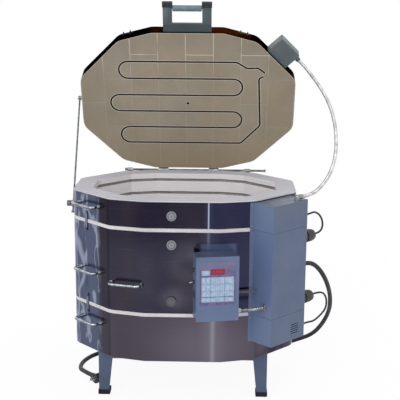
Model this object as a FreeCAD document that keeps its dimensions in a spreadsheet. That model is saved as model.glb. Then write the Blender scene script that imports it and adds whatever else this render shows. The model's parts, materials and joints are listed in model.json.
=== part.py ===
import FreeCAD, Part
import math
import os
import re
from FreeCAD import Placement, Rotation, Vector

import Sketcher

# Electric kiln: an oval top loader in three stacked rings on a low steel stand, its lid propped open.
# Millimetres. X runs along the long side, the front looks to -Y, +Z is up, and the origin is on the
# floor under the centre of the kiln.

os.makedirs("parts", exist_ok=True)
doc = FreeCAD.newDocument("ElectricKiln")
sheet = doc.addObject("Spreadsheet::Sheet", "Sizes")

SIZES = {
    # plan of the jacket: a twelve-sided oval, given by one quarter of it
    "half_length": 450, "half_width": 320, "straight_half": 150,
    "corner_x": 286, "corner_y": 283, "end_half": 114, "corner_round": 60,
    # walls and levels
    "wall": 76.2, "course": 114.3, "slab": 76.2, "stand_height": 190.5,
    "jacket": 1, "band_gap": 7.5, "rim_lip": 4,
    # stand
    "leg_x": 340, "leg_y": 216, "leg_top": 60, "leg_foot": 42, "leg_sheet": 3,
    "foot_height": 20, "rail": 32, "rail_sheet": 3, "pan_sheet": 2,
    # peephole plugs
    "plug_x": -41, "plug_outer": 34, "plug_inner": 26, "plug_head": 38, "plug_proud": 9,
    "plug_clearance": 0.4,
    # element grooves and coils
    "groove_radius": 9, "groove_depth": 7, "coil_radius": 6.5, "terminal_spread": 22,
    "terminal_rod": 2.5, "bushing_radius": 6, "bushing_proud": 14,
    # lid
    "lid_thickness": 63.5, "lid_overhang": 5, "lid_gap": 0.5, "band_sheet": 1,
    "lid_open": 68.4, "vent_radius": 6, "row_pitch": 78, "lid_coil_radius": 3.6,
    "lid_groove_radius": 5, "lid_groove_depth": 3,
    # hinge
    "hinge_y": 336, "hinge_drop": 2, "rod_radius": 4.5, "rod_left": 280, "rod_right": 340,
    "knuckle_radius": 8, "knuckle_length": 44, "leaf_height": 52, "leaf": 4.5, "arm_x": 112,
    "ear_x": 262, "ear_width": 26, "ear_sheet": 3, "rod_clearance": 0.15,
    # lid handle
    "grip_half": 99.5, "grip_arm": 38, "grip_reach": 128, "grip_sheet": 12, "grip_radius": 12.5,
    "cap_height": 22, "cap_wall": 2,
    # lid terminal box
    "lid_box_width": 108, "lid_box_out": 80, "lid_box_height": 46, "lid_box_lift": 15.5, "box_sheet": 1.5,
    # lid brace
    "brace_pivot_z": 30, "brace_pivot_y": -5, "brace_rod_radius": 3.6, "brace_drop": 85,
    "brace_stand_off": 18, "brace_tail": 40, "swivel_radius": 13, "brace_clearance": 0.3,
    "knob_radius": 12, "knob_length": 15,
    # handles on the jackets
    "handle_length": 150, "handle_stand": 38, "handle_rod": 6, "handle_pad": 13,
    # electric boxes on the right front facet
    "box_left": -129, "box_right": 72, "box_depth": 98, "box_top_drop": 8, "box_gap": 0.5,
    "box_bottom_drop": 570, "box_fold": 4, "flange": 12,
    # controller
    "control_width": 165, "control_height": 254, "control_depth": 80, "control_x": 139,
    "control_gap": 92, "control_drop": 191, "control_turn": 11, "control_fold": 4,
    "panel_sheet": 1.5, "overlay_width": 137, "overlay_height": 170, "overlay_sheet": 0.8,
    "overlay_drop": 19, "window_width": 54, "window_height": 22, "window_drop": 47,
    "toggle_throw": 28, "rocker_throw": 18,
    # cords and conduits
    "main_cord": 18.6, "jumper_cord": 8, "lid_conduit_size": 15, "control_conduit_size": 15,
    "plug_diameter": 50, "plug_length": 62, "elbow_rise": 12,
}
WORDS = re.compile(r"[a-z_][a-z0-9_]*")
for row, (alias, value) in enumerate(SIZES.items(), start=1):
    sheet.set(f"A{row}", alias)
    sheet.set(f"B{row}", str(value))
    sheet.setAlias(f"B{row}", alias)
doc.recompute()


def size(alias):
    return float(sheet.get(alias))


def cell(expression):
    """Write an expression of aliases as the spreadsheet's own cells."""
    return WORDS.sub(lambda m: "Sizes." + m.group(0) if m.group(0) in SIZES else m.group(0), expression)


def bind(obj, **properties):
    for name, expression in properties.items():
        obj.setExpression(name, cell(str(expression)))
    return obj


def at(obj, x="0", y="0", z="0"):
    for axis, expression in zip("xyz", (x, y, z)):
        obj.setExpression("Placement.Base." + axis, cell(str(expression)))
    return obj


def box(name, length, width, height, x="0", y="0", z="0"):
    return at(bind(doc.addObject("Part::Box", name), Length=length, Width=width, Height=height), x, y, z)


def cylinder(name, radius, height, x="0", y="0", z="0", axis=(0, 0, 1)):
    made = bind(doc.addObject("Part::Cylinder", name), Radius=radius, Height=height)
    made.Placement = Placement(Vector(), Rotation(Vector(0, 0, 1), Vector(*axis)))
    return at(made, x, y, z)


def cut(name, base, *tools):
    made = doc.addObject("Part::Cut", name)
    made.Base = base
    made.Tool = tools[0] if len(tools) == 1 else fuse(name + "_tools", *tools)
    return made


def fuse(name, *pieces):
    made = doc.addObject("Part::MultiFuse", name)
    made.Shapes = list(pieces)
    return made


def common(name, *pieces):
    made = doc.addObject("Part::MultiCommon", name)
    made.Shapes = list(pieces)
    return made


def group(name, *pieces):
    made = doc.addObject("Part::Compound", name)
    made.Links = list(pieces)
    return made


def feature(name, shape, place=None):
    made = doc.addObject("Part::Feature", name)
    made.Shape = shape
    if place is not None:
        made.Placement = place.multiply(made.Placement)
    return made


def moved(shape, x=0.0, y=0.0, z=0.0):
    copy = shape.copy()
    copy.translate(Vector(x, y, z))
    return copy


PARTS = []


def part(node, obj):
    """Keep an object as one node of the assembly."""
    obj.Label = node
    PARTS.append(obj)
    return obj


# Levels

STAND_TOP = size("stand_height")
RIM = STAND_TOP + size("slab") + 5 * size("course")
JOINTS = (RIM - size("course"), RIM - 4 * size("course"))
RIM_CELL = "(stand_height + slab + 5 * course)"


# Plan of the kiln: one sketched oval, and outlines at a distance inside or outside it

def kiln_plan():
    sketch = doc.addObject("Sketcher::SketchObject", "kiln_plan")
    quarter = [("straight_half", "half_width"), ("corner_x", "corner_y"), ("half_length", "end_half")]
    corners = [(size(x), size(y)) for x, y in quarter]
    ring = corners + [(x, -y) for x, y in reversed(corners)]
    ring += [(-x, -y) for x, y in corners] + [(-x, y) for x, y in reversed(corners)]
    count = len(ring)
    for i in range(count):
        (x1, y1), (x2, y2) = ring[i], ring[(i + 1) % count]
        sketch.addGeometry(Part.LineSegment(Vector(x1, y1, 0), Vector(x2, y2, 0)))
    for i in range(count):
        sketch.addConstraint(Sketcher.Constraint("Coincident", i, 2, (i + 1) % count, 1))
    for i, (x, y) in enumerate(quarter):
        sketch.addConstraint(Sketcher.Constraint("DistanceX", -1, 1, i, 1, size(x)))
        sketch.setExpression(f"Constraints[{sketch.ConstraintCount - 1}]", cell(x))
        sketch.addConstraint(Sketcher.Constraint("DistanceY", -1, 1, i, 1, size(y)))
        sketch.setExpression(f"Constraints[{sketch.ConstraintCount - 1}]", cell(y))
        sketch.addConstraint(Sketcher.Constraint("Symmetric", i, 1, 5 - i, 1, -1))
        sketch.addConstraint(Sketcher.Constraint("Symmetric", i, 1, 11 - i, 1, -2))
        sketch.addConstraint(Sketcher.Constraint("Symmetric", 5 - i, 1, 6 + i, 1, -2))
    return sketch


PLAN = kiln_plan()


def offset(name, source, distance, arcs):
    made = doc.addObject("Part::Offset2D", name)
    made.Source = source
    made.Join = 0 if arcs else 2
    return bind(made, Value=distance)


CORE = offset("round_core", PLAN, "-corner_round", arcs=False)


def outline(name, inset="0"):
    """The jacket's outline, moved inwards, with its corners rolled about the same centres."""
    return offset(name, CORE, f"corner_round - ({inset})", arcs=True)


def prism(name, profile, z, height):
    made = doc.addObject("Part::Extrusion", name)
    made.Base = profile
    made.DirMode = "Custom"
    made.Dir = Vector(0, 0, 1)
    made.Solid = True
    bind(made, LengthFwd=height)
    return at(made, z=z)


def plan_points(inset):
    """Corners of the oval, anticlockwise from the front left, moved inwards by inset."""
    quarter = [(size("straight_half"), size("half_width")), (size("corner_x"), size("corner_y")),
               (size("half_length"), size("end_half"))]
    right = [(x, -y) for x, y in quarter] + list(reversed(quarter))
    ring = [Vector(x, y, 0) for x, y in right]
    ring += [Vector(-p.x, -p.y, 0) for p in ring]
    ring = [ring[-1]] + ring[:-1]
    made = []
    for i, point in enumerate(ring):
        before = (point - ring[i - 1]).normalize()
        after = (ring[(i + 1) % len(ring)] - point).normalize()
        n1, n2 = Vector(-before.y, before.x, 0), Vector(-after.y, after.x, 0)
        made.append(point + (n1 + n2) * (inset / (1 + n1.dot(n2))))
    return made


CORNERS = plan_points(0)
FRONT, FRONT_RIGHT, RIGHT_FRONT, RIGHT, BACK, LEFT, LEFT_FRONT, FRONT_LEFT = 0, 1, 2, 3, 6, 9, 10, 11


def facet_length(index):
    return (CORNERS[(index + 1) % 12] - CORNERS[index]).Length


def facet_place(index, z=0.0, out=0.0):
    """Frame at the middle of a facet: x to the right seen from outside, y into the kiln, z up."""
    start, end = CORNERS[index], CORNERS[(index + 1) % 12]
    along = end - start
    angle = math.degrees(math.atan2(along.y, along.x))
    turn = Rotation(Vector(0, 0, 1), angle)
    return Placement((start + end) * 0.5 + turn.multVec(Vector(0, -out, 0)) + Vector(0, 0, z), turn)


BODY_SHAPE = prism("kiln_envelope", outline("envelope_outline"), "stand_height", "slab + 5 * course")
doc.recompute()
ENVELOPE = BODY_SHAPE.Shape.copy()


# Stand: an oval steel pan on an angle-iron frame, with four folded tapering legs in rubber feet

def stand():
    pan = prism("pan", outline("pan_outline", "jacket"), "stand_height - pan_sheet", "pan_sheet")
    part("base_pan", pan)
    top = f"stand_height - pan_sheet"
    rails = []
    for side, sign in (("front", -1), ("back", 1)):
        y = f"{sign} * leg_y - {'0' if sign < 0 else 'rail'}"
        upright = f"{sign} * leg_y - {'0' if sign < 0 else 'rail_sheet'}"
        flat = box(side + "_flat", "2 * leg_x", "rail", "rail_sheet", "-leg_x", y, top + " - rail_sheet")
        edge = box(side + "_edge", "2 * leg_x", "rail_sheet", "rail", "-leg_x", upright, top + " - rail")
        rails += [flat, edge]
    for side, sign in (("left", -1), ("right", 1)):
        x = f"{sign} * leg_x - {'0' if sign < 0 else 'rail'}"
        upright = f"{sign} * leg_x - {'0' if sign < 0 else 'rail_sheet'}"
        flat = box(side + "_flat", "rail", "2 * leg_y", "rail_sheet", x, "-leg_y", top + " - rail_sheet")
        edge = box(side + "_edge", "rail_sheet", "2 * leg_y", "rail", upright, "-leg_y", top + " - rail")
        rails += [flat, edge]
    part("stand_frame", fuse("frame", *rails))
    legs, feet = [], []
    for sx in (-1, 1):
        for sy in (-1, 1):
            legs.append(leg(sx, sy))
            feet.append(foot(sx, sy))
    part("legs", feature("leg_set", Part.makeCompound(legs)))
    part("rubber_feet", feature("foot_set", Part.makeCompound(feet)))


def angle_section(width, sheet_thickness, sx, sy, z):
    """An L of two equal flanges; its outer corner is at the origin and it opens towards the middle."""
    t, w = sheet_thickness, width
    points = [(0, 0), (w, 0), (w, t), (t, t), (t, w), (0, w), (0, 0)]
    return Part.makePolygon([Vector(-sx * x, -sy * y, z) for x, y in points])


def leg(sx, sy):
    t = size("leg_sheet")
    top = angle_section(size("leg_top"), t, sx, sy, STAND_TOP - size("pan_sheet") - 1)
    low = angle_section(size("leg_foot"), t, sx, sy, size("foot_height"))
    shape = Part.makeLoft([low, top], True)
    return moved(shape, sx * (size("leg_x") + t), sy * (size("leg_y") + t))


def foot(sx, sy):
    width = size("leg_foot") + 6
    block = Part.makeBox(width, width, size("foot_height"))
    block = block.makeChamfer(3, [e for e in block.Edges if abs(e.CenterOfMass.z) < 0.1])
    place = Vector(sx * (size("leg_x") + size("leg_sheet") + 3), sy * (size("leg_y") + size("leg_sheet") + 3), 0)
    return moved(block, place.x - (width if sx > 0 else 0), place.y - (width if sy > 0 else 0))


stand()


# Floor slab and the five courses of mitred bricks, with dropped element grooves and their openings

part("floor_slab", prism("slab_block", outline("slab_outline", "jacket"), "stand_height", "slab"))

GROOVE_LEVELS = (0.25, 0.75)


def prism_of(points, z, height):
    wire = Part.makePolygon([Vector(p.x, p.y, z) for p in points + points[:1]])
    return Part.Face(wire).extrude(Vector(0, 0, height))


def course_bricks(z):
    """One course: a brick to each facet, and two to the long front and back, cut to the jacket's roll."""
    outer, inner = plan_points(size("jacket")), plan_points(size("jacket") + size("wall"))
    height = size("course")
    roll = moved(JACKET_INNER, 0, 0, z)
    bricks = []
    for i in range(12):
        j = (i + 1) % 12
        if i in (FRONT, BACK):
            middle_out, middle_in = (outer[i] + outer[j]) * 0.5, (inner[i] + inner[j]) * 0.5
            quads = [(outer[i], middle_out, middle_in, inner[i]), (middle_out, outer[j], inner[j], middle_in)]
        else:
            quads = [(outer[i], outer[j], inner[j], inner[i])]
        place = facet_place(i)
        for quad in quads:
            brick = prism_of(list(quad), z, height).common(roll)
            for level in GROOVE_LEVELS:
                reach = facet_length(i)
                bar = Part.makeCylinder(size("groove_radius"), reach, Vector(-reach / 2, 0, 0), Vector(1, 0, 0))
                bar.translate(Vector(0, size("jacket") + size("wall") - size("groove_depth"), 0))
                bar.Placement = place.multiply(bar.Placement)
                bar.translate(Vector(0, 0, z + height * level))
                brick = brick.cut(bar)
            bricks.append(brick)
    return bricks


def terminal_axes(z):
    """Where the coil's two ends of each groove of a course pass out through the right front wall."""
    spots = []
    for level in GROOVE_LEVELS:
        for side in (-1, 1):
            place = facet_place(RIGHT_FRONT, z + size("course") * level)
            spots.append(place.multiply(Placement(Vector(side * size("terminal_spread"), 0, 0), Rotation())))
    return spots


def across(place, radius, start, length):
    """A round bar running inwards along a facet frame's y."""
    bar = Part.makeCylinder(radius, length, Vector(0, start, 0), Vector(0, 1, 0))
    bar.Placement = place.multiply(bar.Placement)
    return bar


PLUG_COURSES = {"top_peephole_plug": 4, "middle_peephole_plug": 3, "lower_peephole_plug": 1}


def plug_place(course_index):
    z = STAND_TOP + size("slab") + (course_index + 0.5) * size("course")
    return Placement(Vector(size("plug_x"), -size("half_width"), z), Rotation())


def plug_cone(extra):
    """The plug's taper through the wall, from the jacket's face to the chamber."""
    length = size("jacket") + size("wall")
    return Part.makeCone(size("plug_outer") / 2 + extra, size("plug_inner") / 2 + extra, length,
                         Vector(0, 0, 0), Vector(0, 1, 0))


COUPLE_Z = STAND_TOP + size("slab") + 2.5 * size("course")
COUPLE_X = 46


def rings():
    names = ["bottom_ring_bricks", "middle_ring_bricks", "middle_ring_bricks", "middle_ring_bricks",
             "top_ring_bricks"]
    held = {}
    plain = course_bricks(0)
    for index, node in enumerate(names):
        z = STAND_TOP + size("slab") + index * size("course")
        bricks = [moved(b, 0, 0, z) for b in plain]
        tools = [across(spot, size("bushing_radius") + 0.3, -20, size("wall") + 40) for spot in terminal_axes(z)]
        for plug_node, course_index in PLUG_COURSES.items():
            if course_index == index:
                hole = plug_cone(size("plug_clearance"))
                hole.Placement = plug_place(course_index).multiply(hole.Placement)
                tools.append(hole)
        if z < COUPLE_Z < z + size("course"):
            spot = facet_place(RIGHT_FRONT, COUPLE_Z).multiply(Placement(Vector(COUPLE_X, 0, 0), Rotation()))
            tools.append(across(spot, 4.5, -20, size("wall") + 40))
        cutters = Part.makeCompound(tools)
        for b in bricks:
            near = any(b.distToShape(t)[0] < 0.01 for t in tools)
            held.setdefault(node, []).append(b.cut(cutters) if near else b)
    for node, bricks in held.items():
        part(node, feature(node + "_set", Part.makeCompound(bricks)))


JACKET_SKIN = prism("jacket_inner", outline("jacket_inner_outline", "jacket"), "0", "course")
doc.recompute()
JACKET_INNER = JACKET_SKIN.Shape.copy()
JACKET_INNER.translate(Vector(0, 0, -JACKET_INNER.BoundBox.ZMin))
rings()


# Stainless jackets: one wrap to each ring, short of the joints, open behind the electric boxes

def wrap(name, z, height):
    outer = prism(name + "_outer", outline(name + "_outer_line"), z, height)
    inner = prism(name + "_inner", outline(name + "_inner_line", "jacket"), z, height)
    return cut(name + "_wrap", outer, inner)


def window(z0, z1):
    """The opening in a jacket for the coil ends behind an electric box."""
    opening = Part.makeBox(112, 60, z1 - z0, Vector(-48, -40, 0))
    opening.Placement = facet_place(RIGHT_FRONT, z0)
    return opening


def jackets():
    low = "stand_height"
    joint_low, joint_high = "(stand_height + slab + course)", "(stand_height + slab + 4 * course)"
    spans = {
        "bottom_jacket": (low, f"slab + course - band_gap"),
        "middle_jacket": (joint_low + " + band_gap", "3 * course - 2 * band_gap"),
        "top_jacket": (joint_high + " + band_gap", "course - band_gap - rim_lip"),
    }
    for node, (z, height) in spans.items():
        skin = wrap(node, z, height)
        doc.recompute()
        bound = skin.Shape.BoundBox
        tools = [window(max(bound.ZMin, RIM - size("box_bottom_drop")) + 12, bound.ZMax - 12)]
        for course_index in PLUG_COURSES.values():
            hole = Part.makeCylinder(size("plug_outer") / 2 + 1.5, 20, Vector(0, -10, 0), Vector(0, 1, 0))
            hole.Placement = plug_place(course_index).multiply(hole.Placement)
            if bound.ZMin < hole.BoundBox.Center.z < bound.ZMax:
                tools.append(hole)
        part(node, cut(node + "_cut", skin, feature(node + "_openings", Part.makeCompound(tools))))


jackets()


# Peephole plugs: a tapered refractory stopper with a rounded head, each slides straight out

def plugs():
    for node, course_index in PLUG_COURSES.items():
        cone = plug_cone(0)
        radius, proud = size("plug_head") / 2, size("plug_proud")
        head = Part.makeCylinder(radius, proud, Vector(0, -proud - 0.3, 0), Vector(0, 1, 0))
        head = head.makeFillet(2.5, [e for e in head.Edges if abs(e.CenterOfMass.y + proud + 0.3) < 0.1])
        stem = Part.makeCylinder(size("plug_outer") / 2, 0.6, Vector(0, -0.5, 0), Vector(0, 1, 0))
        part(node, feature(node + "_body", head.fuse([stem, cone]).removeSplitter(), plug_place(course_index)))


plugs()


# Coils: a closed run round the chamber in each groove, its ends joined to rods in the right front wall

def pipe(path, radius, corner=1):
    first = path.Edges[0]
    start = first.valueAt(first.FirstParameter)
    tangent = first.tangentAt(first.FirstParameter)
    profile = Part.Wire([Part.makeCircle(radius, start, tangent)])
    shell = Part.BRepOffsetAPI.MakePipeShell(path)
    shell.add(profile)
    shell.setTransitionMode(corner)
    shell.build()
    shell.makeSolid()
    return shell.shape()


def coil_path(z):
    inset = size("jacket") + size("wall") - size("groove_depth")
    corners = plan_points(inset)
    place = facet_place(RIGHT_FRONT, z)
    gap = size("terminal_spread") - size("terminal_rod") - 1
    ends = [place.multVec(Vector(side * gap, inset, 0)) for side in (1, -1)]
    ring = [Vector(p.x, p.y, z) for p in corners]
    order = [ends[0]] + [ring[(RIGHT_FRONT + 1 + k) % 12] for k in range(12)] + [ends[1]]
    return Part.makePolygon(order)


def coils():
    drop = size("groove_radius") - size("coil_radius") - 0.3
    rods, bushings = [], []
    names = {0: "bottom_elements", 1: "middle_elements", 2: "middle_elements", 3: "middle_elements",
             4: "top_elements"}
    held = {}
    for index, node in names.items():
        base = STAND_TOP + size("slab") + index * size("course")
        for level in GROOVE_LEVELS:
            z = base + size("course") * level - drop
            held.setdefault(node, []).append(pipe(coil_path(z), size("coil_radius")))
        reach = size("wall") + size("jacket") - size("groove_depth") - size("coil_radius") - 0.2
        for spot in terminal_axes(base):
            proud = size("bushing_proud")
            rod = across(spot, size("terminal_rod"), -proud - 12, reach + proud + 12)
            tube = across(spot, size("bushing_radius"), -proud, reach + proud - 4)
            bushings.append(tube.cut(across(spot, size("terminal_rod") + 0.3, -proud - 1, reach + proud + 5)))
            rods.append(rod)
    for node, runs in held.items():
        part(node, feature(node + "_set", Part.makeCompound(runs)))
    part("element_terminals", feature("terminal_set", Part.makeCompound(rods)))
    part("element_bushings", feature("bushing_set", Part.makeCompound(bushings)))


coils()


# Thermocouple: a sheathed probe through the wall, with its block inside the middle electric box

def thermocouple():
    spot = facet_place(RIGHT_FRONT, COUPLE_Z).multiply(Placement(Vector(COUPLE_X, 0, 0), Rotation()))
    sheath = across(spot, 4.2, -6, size("wall") + 6 + 26)
    head = Part.makeBox(30, 12, 24, Vector(-15, -18, -12))
    head.Placement = spot
    part("thermocouple", feature("probe", sheath.fuse(head)))


thermocouple()


# Lid: modelled shut on the rim and then turned open about the hinge rod

HINGE = Vector(0, size("hinge_y"), RIM - size("hinge_drop"))
OPEN_LID = Placement(HINGE, Rotation(Vector(1, 0, 0), -size("lid_open"))).multiply(
    Placement(HINGE * -1, Rotation()))
LID_BASE = RIM + size("lid_gap")
LID_BASE_CELL = f"({RIM_CELL} + lid_gap)"


def lid_part(node, shape):
    return part(node, feature(node + "_body", shape, OPEN_LID))


def lid_groove_path(z):
    """The snaking run of the lid's coil, from the terminals at the right and back to them."""
    pitch = size("row_pitch")
    rows = [pitch * (k - 2.5) for k in range(6)]
    left = (-290, -331, -293)
    right = (239, 231)
    half = pitch / 2
    edges = []
    start = Vector(296, 126, z)
    corner = [Vector(321, 112, z), Vector(321, -100, z), Vector(250, rows[0], z)]
    points = [start] + corner
    for a, b in zip(points, points[1:]):
        edges.append(Part.makeLine(a, b))
    pen = corner[-1]
    for k in range(5):
        on_left = k % 2 == 0
        x_end = left[k // 2] + half if on_left else right[k // 2] - half
        end = Vector(x_end, rows[k], z)
        edges.append(Part.makeLine(pen, end))
        side = -1 if on_left else 1
        middle = Vector(x_end + side * half, rows[k] + half, z)
        finish = Vector(x_end, rows[k + 1], z)
        edges.append(Part.Arc(end, middle, finish).toShape())
        pen = finish
    for point in (Vector(212, rows[5], z), Vector(244, 168, z), Vector(286, 172, z)):
        edges.append(Part.makeLine(pen, point))
        pen = point
    return Part.Wire(edges)


def lid():
    thickness = size("lid_thickness")
    slab_line = outline("lid_slab_line", "band_sheet - lid_overhang")
    band_line = outline("lid_band_line", "-lid_overhang")
    block = prism("lid_block", slab_line, LID_BASE_CELL, "lid_thickness")
    shell = prism("lid_shell", band_line, LID_BASE_CELL, "lid_thickness")
    doc.recompute()
    slab_shape, shell_shape = block.Shape.copy(), shell.Shape.copy()
    z = LID_BASE + size("lid_groove_depth")
    groove = pipe(lid_groove_path(z), size("lid_groove_radius"), 2)
    vent = Part.makeCylinder(size("vent_radius"), thickness + 2, Vector(0, 0, LID_BASE - 1))
    ends = (Vector(296, 126, LID_BASE), Vector(286, 172, LID_BASE))
    sockets = [Part.makeCylinder(size("terminal_rod") + 0.3, 41, end) for end in ends]
    lid_part("lid_slab", slab_shape.cut([groove, vent] + sockets))
    lid_part("lid_band", shell_shape.cut(slab_shape).cut(band_openings()).fuse(band_clamps()))
    lift = size("lid_groove_radius") - size("lid_coil_radius") - 0.3
    coil = pipe(lid_groove_path(z + lift), size("lid_coil_radius"), 2)
    pins = [Part.makeCylinder(size("terminal_rod"), 36, end + Vector(0, 0, 4)) for end in ends]
    lid_part("lid_element", coil.fuse(pins))


def band_openings():
    place = facet_place(RIGHT_FRONT, LID_BASE + size("lid_thickness") / 2, size("lid_overhang"))
    hole = Part.makeCylinder(11, 20, Vector(0, -10, 0), Vector(0, 1, 0))
    hole.Placement = place
    return hole


def band_clamps():
    """Screw clamps that draw the band tight: two folded ears and a screw on each front shoulder."""
    made = []
    for index, shift in ((FRONT_LEFT, -30), (FRONT_RIGHT, 12)):
        place = facet_place(index, LID_BASE + size("lid_thickness") / 2, size("lid_overhang"))
        pieces = [Part.makeBox(3, 16, 22, Vector(shift + x, -15.5, -11)) for x in (-16, 13)]
        pieces.append(Part.makeCylinder(3, 46, Vector(shift - 24, -9, 0), Vector(1, 0, 0)))
        clamp = pieces[0].fuse(pieces[1:])
        clamp.Placement = place
        made.append(clamp)
    return made


lid()


# Hinge: a long rod in ears on the top ring, and two knuckled leaves screwed to the lid's band

def knuckle(x, length, bore):
    tube = Part.makeCylinder(size("knuckle_radius"), length, Vector(x - length / 2, HINGE.y, HINGE.z),
                             Vector(1, 0, 0))
    return tube.cut(Part.makeCylinder(bore, length + 2, Vector(x - length / 2 - 1, HINGE.y, HINGE.z),
                                      Vector(1, 0, 0)))


def ring_ear(x):
    """A plate on the back shoulder of the top ring, with a web out to the rod."""
    wide, thick, tall = size("ear_width"), size("ear_sheet"), size("leaf_height")
    index = BACK - 1 if x > 0 else BACK + 1
    place = facet_place(index, HINGE.z - 7 - tall)
    shift = place.inverse().multVec(Vector(x, facet_place(index).Base.y, place.Base.z)).x
    plate = Part.makeBox(wide, thick, tall, Vector(shift - wide / 2, -thick, 0))
    plate.Placement = place
    web = Part.makeBox(wide, HINGE.y - 250, 5, Vector(x - wide / 2, 250, HINGE.z - 12))
    bore = size("rod_radius") + size("rod_clearance")
    hole = Part.makeCylinder(bore, 2 * wide, Vector(x - wide, HINGE.y, HINGE.z), Vector(1, 0, 0))
    return plate.fuse([web, knuckle(x, wide, bore)]).cut([ENVELOPE, hole]).removeSplitter()


def hinge():
    left, span = -size("rod_left"), size("rod_left") + size("rod_right")
    rod = Part.makeCylinder(size("rod_radius"), span, Vector(left, HINGE.y, HINGE.z), Vector(1, 0, 0))
    cap = [Part.makeCylinder(size("rod_radius") + 2.5, 4, Vector(x, HINGE.y, HINGE.z), Vector(1, 0, 0))
           for x in (left - 4, left + span)]
    part("hinge_rod", feature("rod", rod.fuse(cap).removeSplitter()))
    part("hinge_ears", feature("ear_set", Part.makeCompound([ring_ear(-size("ear_x")), ring_ear(size("ear_x"))])))
    back = size("half_width") + size("lid_overhang")
    length, bore = size("knuckle_length"), size("rod_radius") + size("rod_clearance")
    leaves = []
    for x in (-size("arm_x"), size("arm_x")):
        plate = Part.makeBox(length, size("leaf"), size("leaf_height"), Vector(x - length / 2, back, HINGE.z))
        hole = Part.makeCylinder(bore, 2 * length, Vector(x - length, HINGE.y, HINGE.z), Vector(1, 0, 0))
        leaves.append(plate.fuse(knuckle(x, length, bore)).cut(hole).removeSplitter())
    return leaves


LEAVES = hinge()


# Lid handle: a folded steel frame bolted to the band, a round grip and two plastic end caps

def lid_handle():
    front = -size("half_width") - size("lid_overhang")
    half, arm, reach, t = size("grip_half"), size("grip_arm"), size("grip_reach"), size("grip_sheet")
    z = LID_BASE + 8
    outer = Part.makeBox(2 * half, reach, t, Vector(-half, front - reach, z))
    gap = Part.makeBox(2 * (half - arm), reach - arm + 1, t + 2, Vector(-half + arm, front - reach - 1, z - 1))
    flange = Part.makeBox(2 * half, 3, 46, Vector(-half, front - 3, z))
    frame = outer.cut(gap).fuse(flange).removeSplitter()
    bar_y = front - reach + size("cap_height") + 4
    bar_z = z + t / 2
    hole = Part.makeCylinder(4.2, 2 * half, Vector(-half, bar_y, bar_z), Vector(1, 0, 0))
    lid_part("lid_handle_frame", frame.cut(hole))
    wall, tall = size("cap_wall"), size("cap_height")
    grip_half = half - arm - wall - 0.3
    grip = Part.makeCylinder(size("grip_radius"), 2 * grip_half, Vector(-grip_half, bar_y, bar_z),
                             Vector(1, 0, 0))
    grip = grip.makeFillet(2, [e for e in grip.Edges if len(e.Vertexes) == 1])
    tie = Part.makeCylinder(4, 2 * half - 12, Vector(-half + 6, bar_y, bar_z), Vector(1, 0, 0))
    lid_part("lid_handle_grip", grip.fuse(tie))
    caps = []
    for x in (-half, half - arm):
        block = Part.makeBox(arm + 2 * wall, tall, t + 2 * wall, Vector(x - wall, front - reach - wall, z - wall))
        block = block.makeFillet(3, [e for e in block.Edges if abs(e.CenterOfMass.y - (front - reach - wall)) < 0.1])
        caps.append(block.cut(Part.makeBox(arm, tall, t, Vector(x, front - reach, z))))
    lid_part("lid_handle_caps", Part.makeCompound(caps))


lid_handle()


# Lid terminal box on the right shoulder of the band, open towards the band

def sheet_box(width, depth, height, wall, fold):
    """A folded box: x centred, y from 0 at the open back to -depth, z from 0."""
    block = Part.makeBox(width, depth, height, Vector(-width / 2, -depth, 0))
    corners = [e for e in block.Edges
               if abs(e.CenterOfMass.y + depth) < 0.1 and abs(abs(e.CenterOfMass.x) - width / 2) < 0.1]
    block = block.makeFillet(fold, corners)
    hollow = Part.makeBox(width - 2 * wall, depth - wall + 20, height - 2 * wall,
                          Vector(-width / 2 + wall, -depth + wall, wall))
    inner = [e for e in hollow.Edges
             if abs(e.CenterOfMass.y + depth - wall) < 0.1 and abs(abs(e.CenterOfMass.x) - width / 2 + wall) < 0.1]
    return block.cut(hollow.makeFillet(fold - wall, inner))


LID_BOX_PLACE = facet_place(RIGHT_FRONT, LID_BASE + size("lid_box_lift"), size("lid_overhang"))
LID_EXIT = Vector(size("lid_box_width") / 2, -58, size("lid_box_height") / 2)


def lid_box():
    case = sheet_box(size("lid_box_width"), size("lid_box_out"), size("lid_box_height"), size("box_sheet"), 5)
    port = Part.makeCylinder(6, 10, LID_EXIT - Vector(5, 0, 0), Vector(1, 0, 0))
    case = case.cut(port)
    case.Placement = LID_BOX_PLACE
    nut = Part.makeCylinder(13, 7, LID_EXIT, Vector(1, 0, 0))
    tube = Part.makeCylinder(10, 20, LID_EXIT, Vector(1, 0, 0))
    fitting = nut.fuse(tube).cut(Part.makeCylinder(6, 22, LID_EXIT - Vector(1, 0, 0), Vector(1, 0, 0)))
    fitting.Placement = LID_BOX_PLACE
    lid_part("lid_terminal_box", case.fuse(fitting).removeSplitter())


lid_box()


# Lid brace at the left end: a rod from the lid, held in a swivel on the top ring by a hand knob.
# Its two pivots lie on one circle about the hinge, so the rod turns half as far as the lid.

END_FACE = -size("half_length")
BRACE_X = END_FACE - size("brace_stand_off")
PIVOT_SHUT = Vector(BRACE_X, size("brace_pivot_y"), RIM + size("brace_pivot_z"))
PIVOT_OPEN = OPEN_LID.multVec(PIVOT_SHUT)


def swivel_centre():
    dy, dz = PIVOT_SHUT.y - HINGE.y, PIVOT_SHUT.z - HINGE.z
    radius = math.hypot(dy, dz)
    drop = size("brace_drop") - size("hinge_drop")
    return Vector(BRACE_X, HINGE.y - math.sqrt(radius * radius - drop * drop), HINGE.z - drop)


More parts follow.
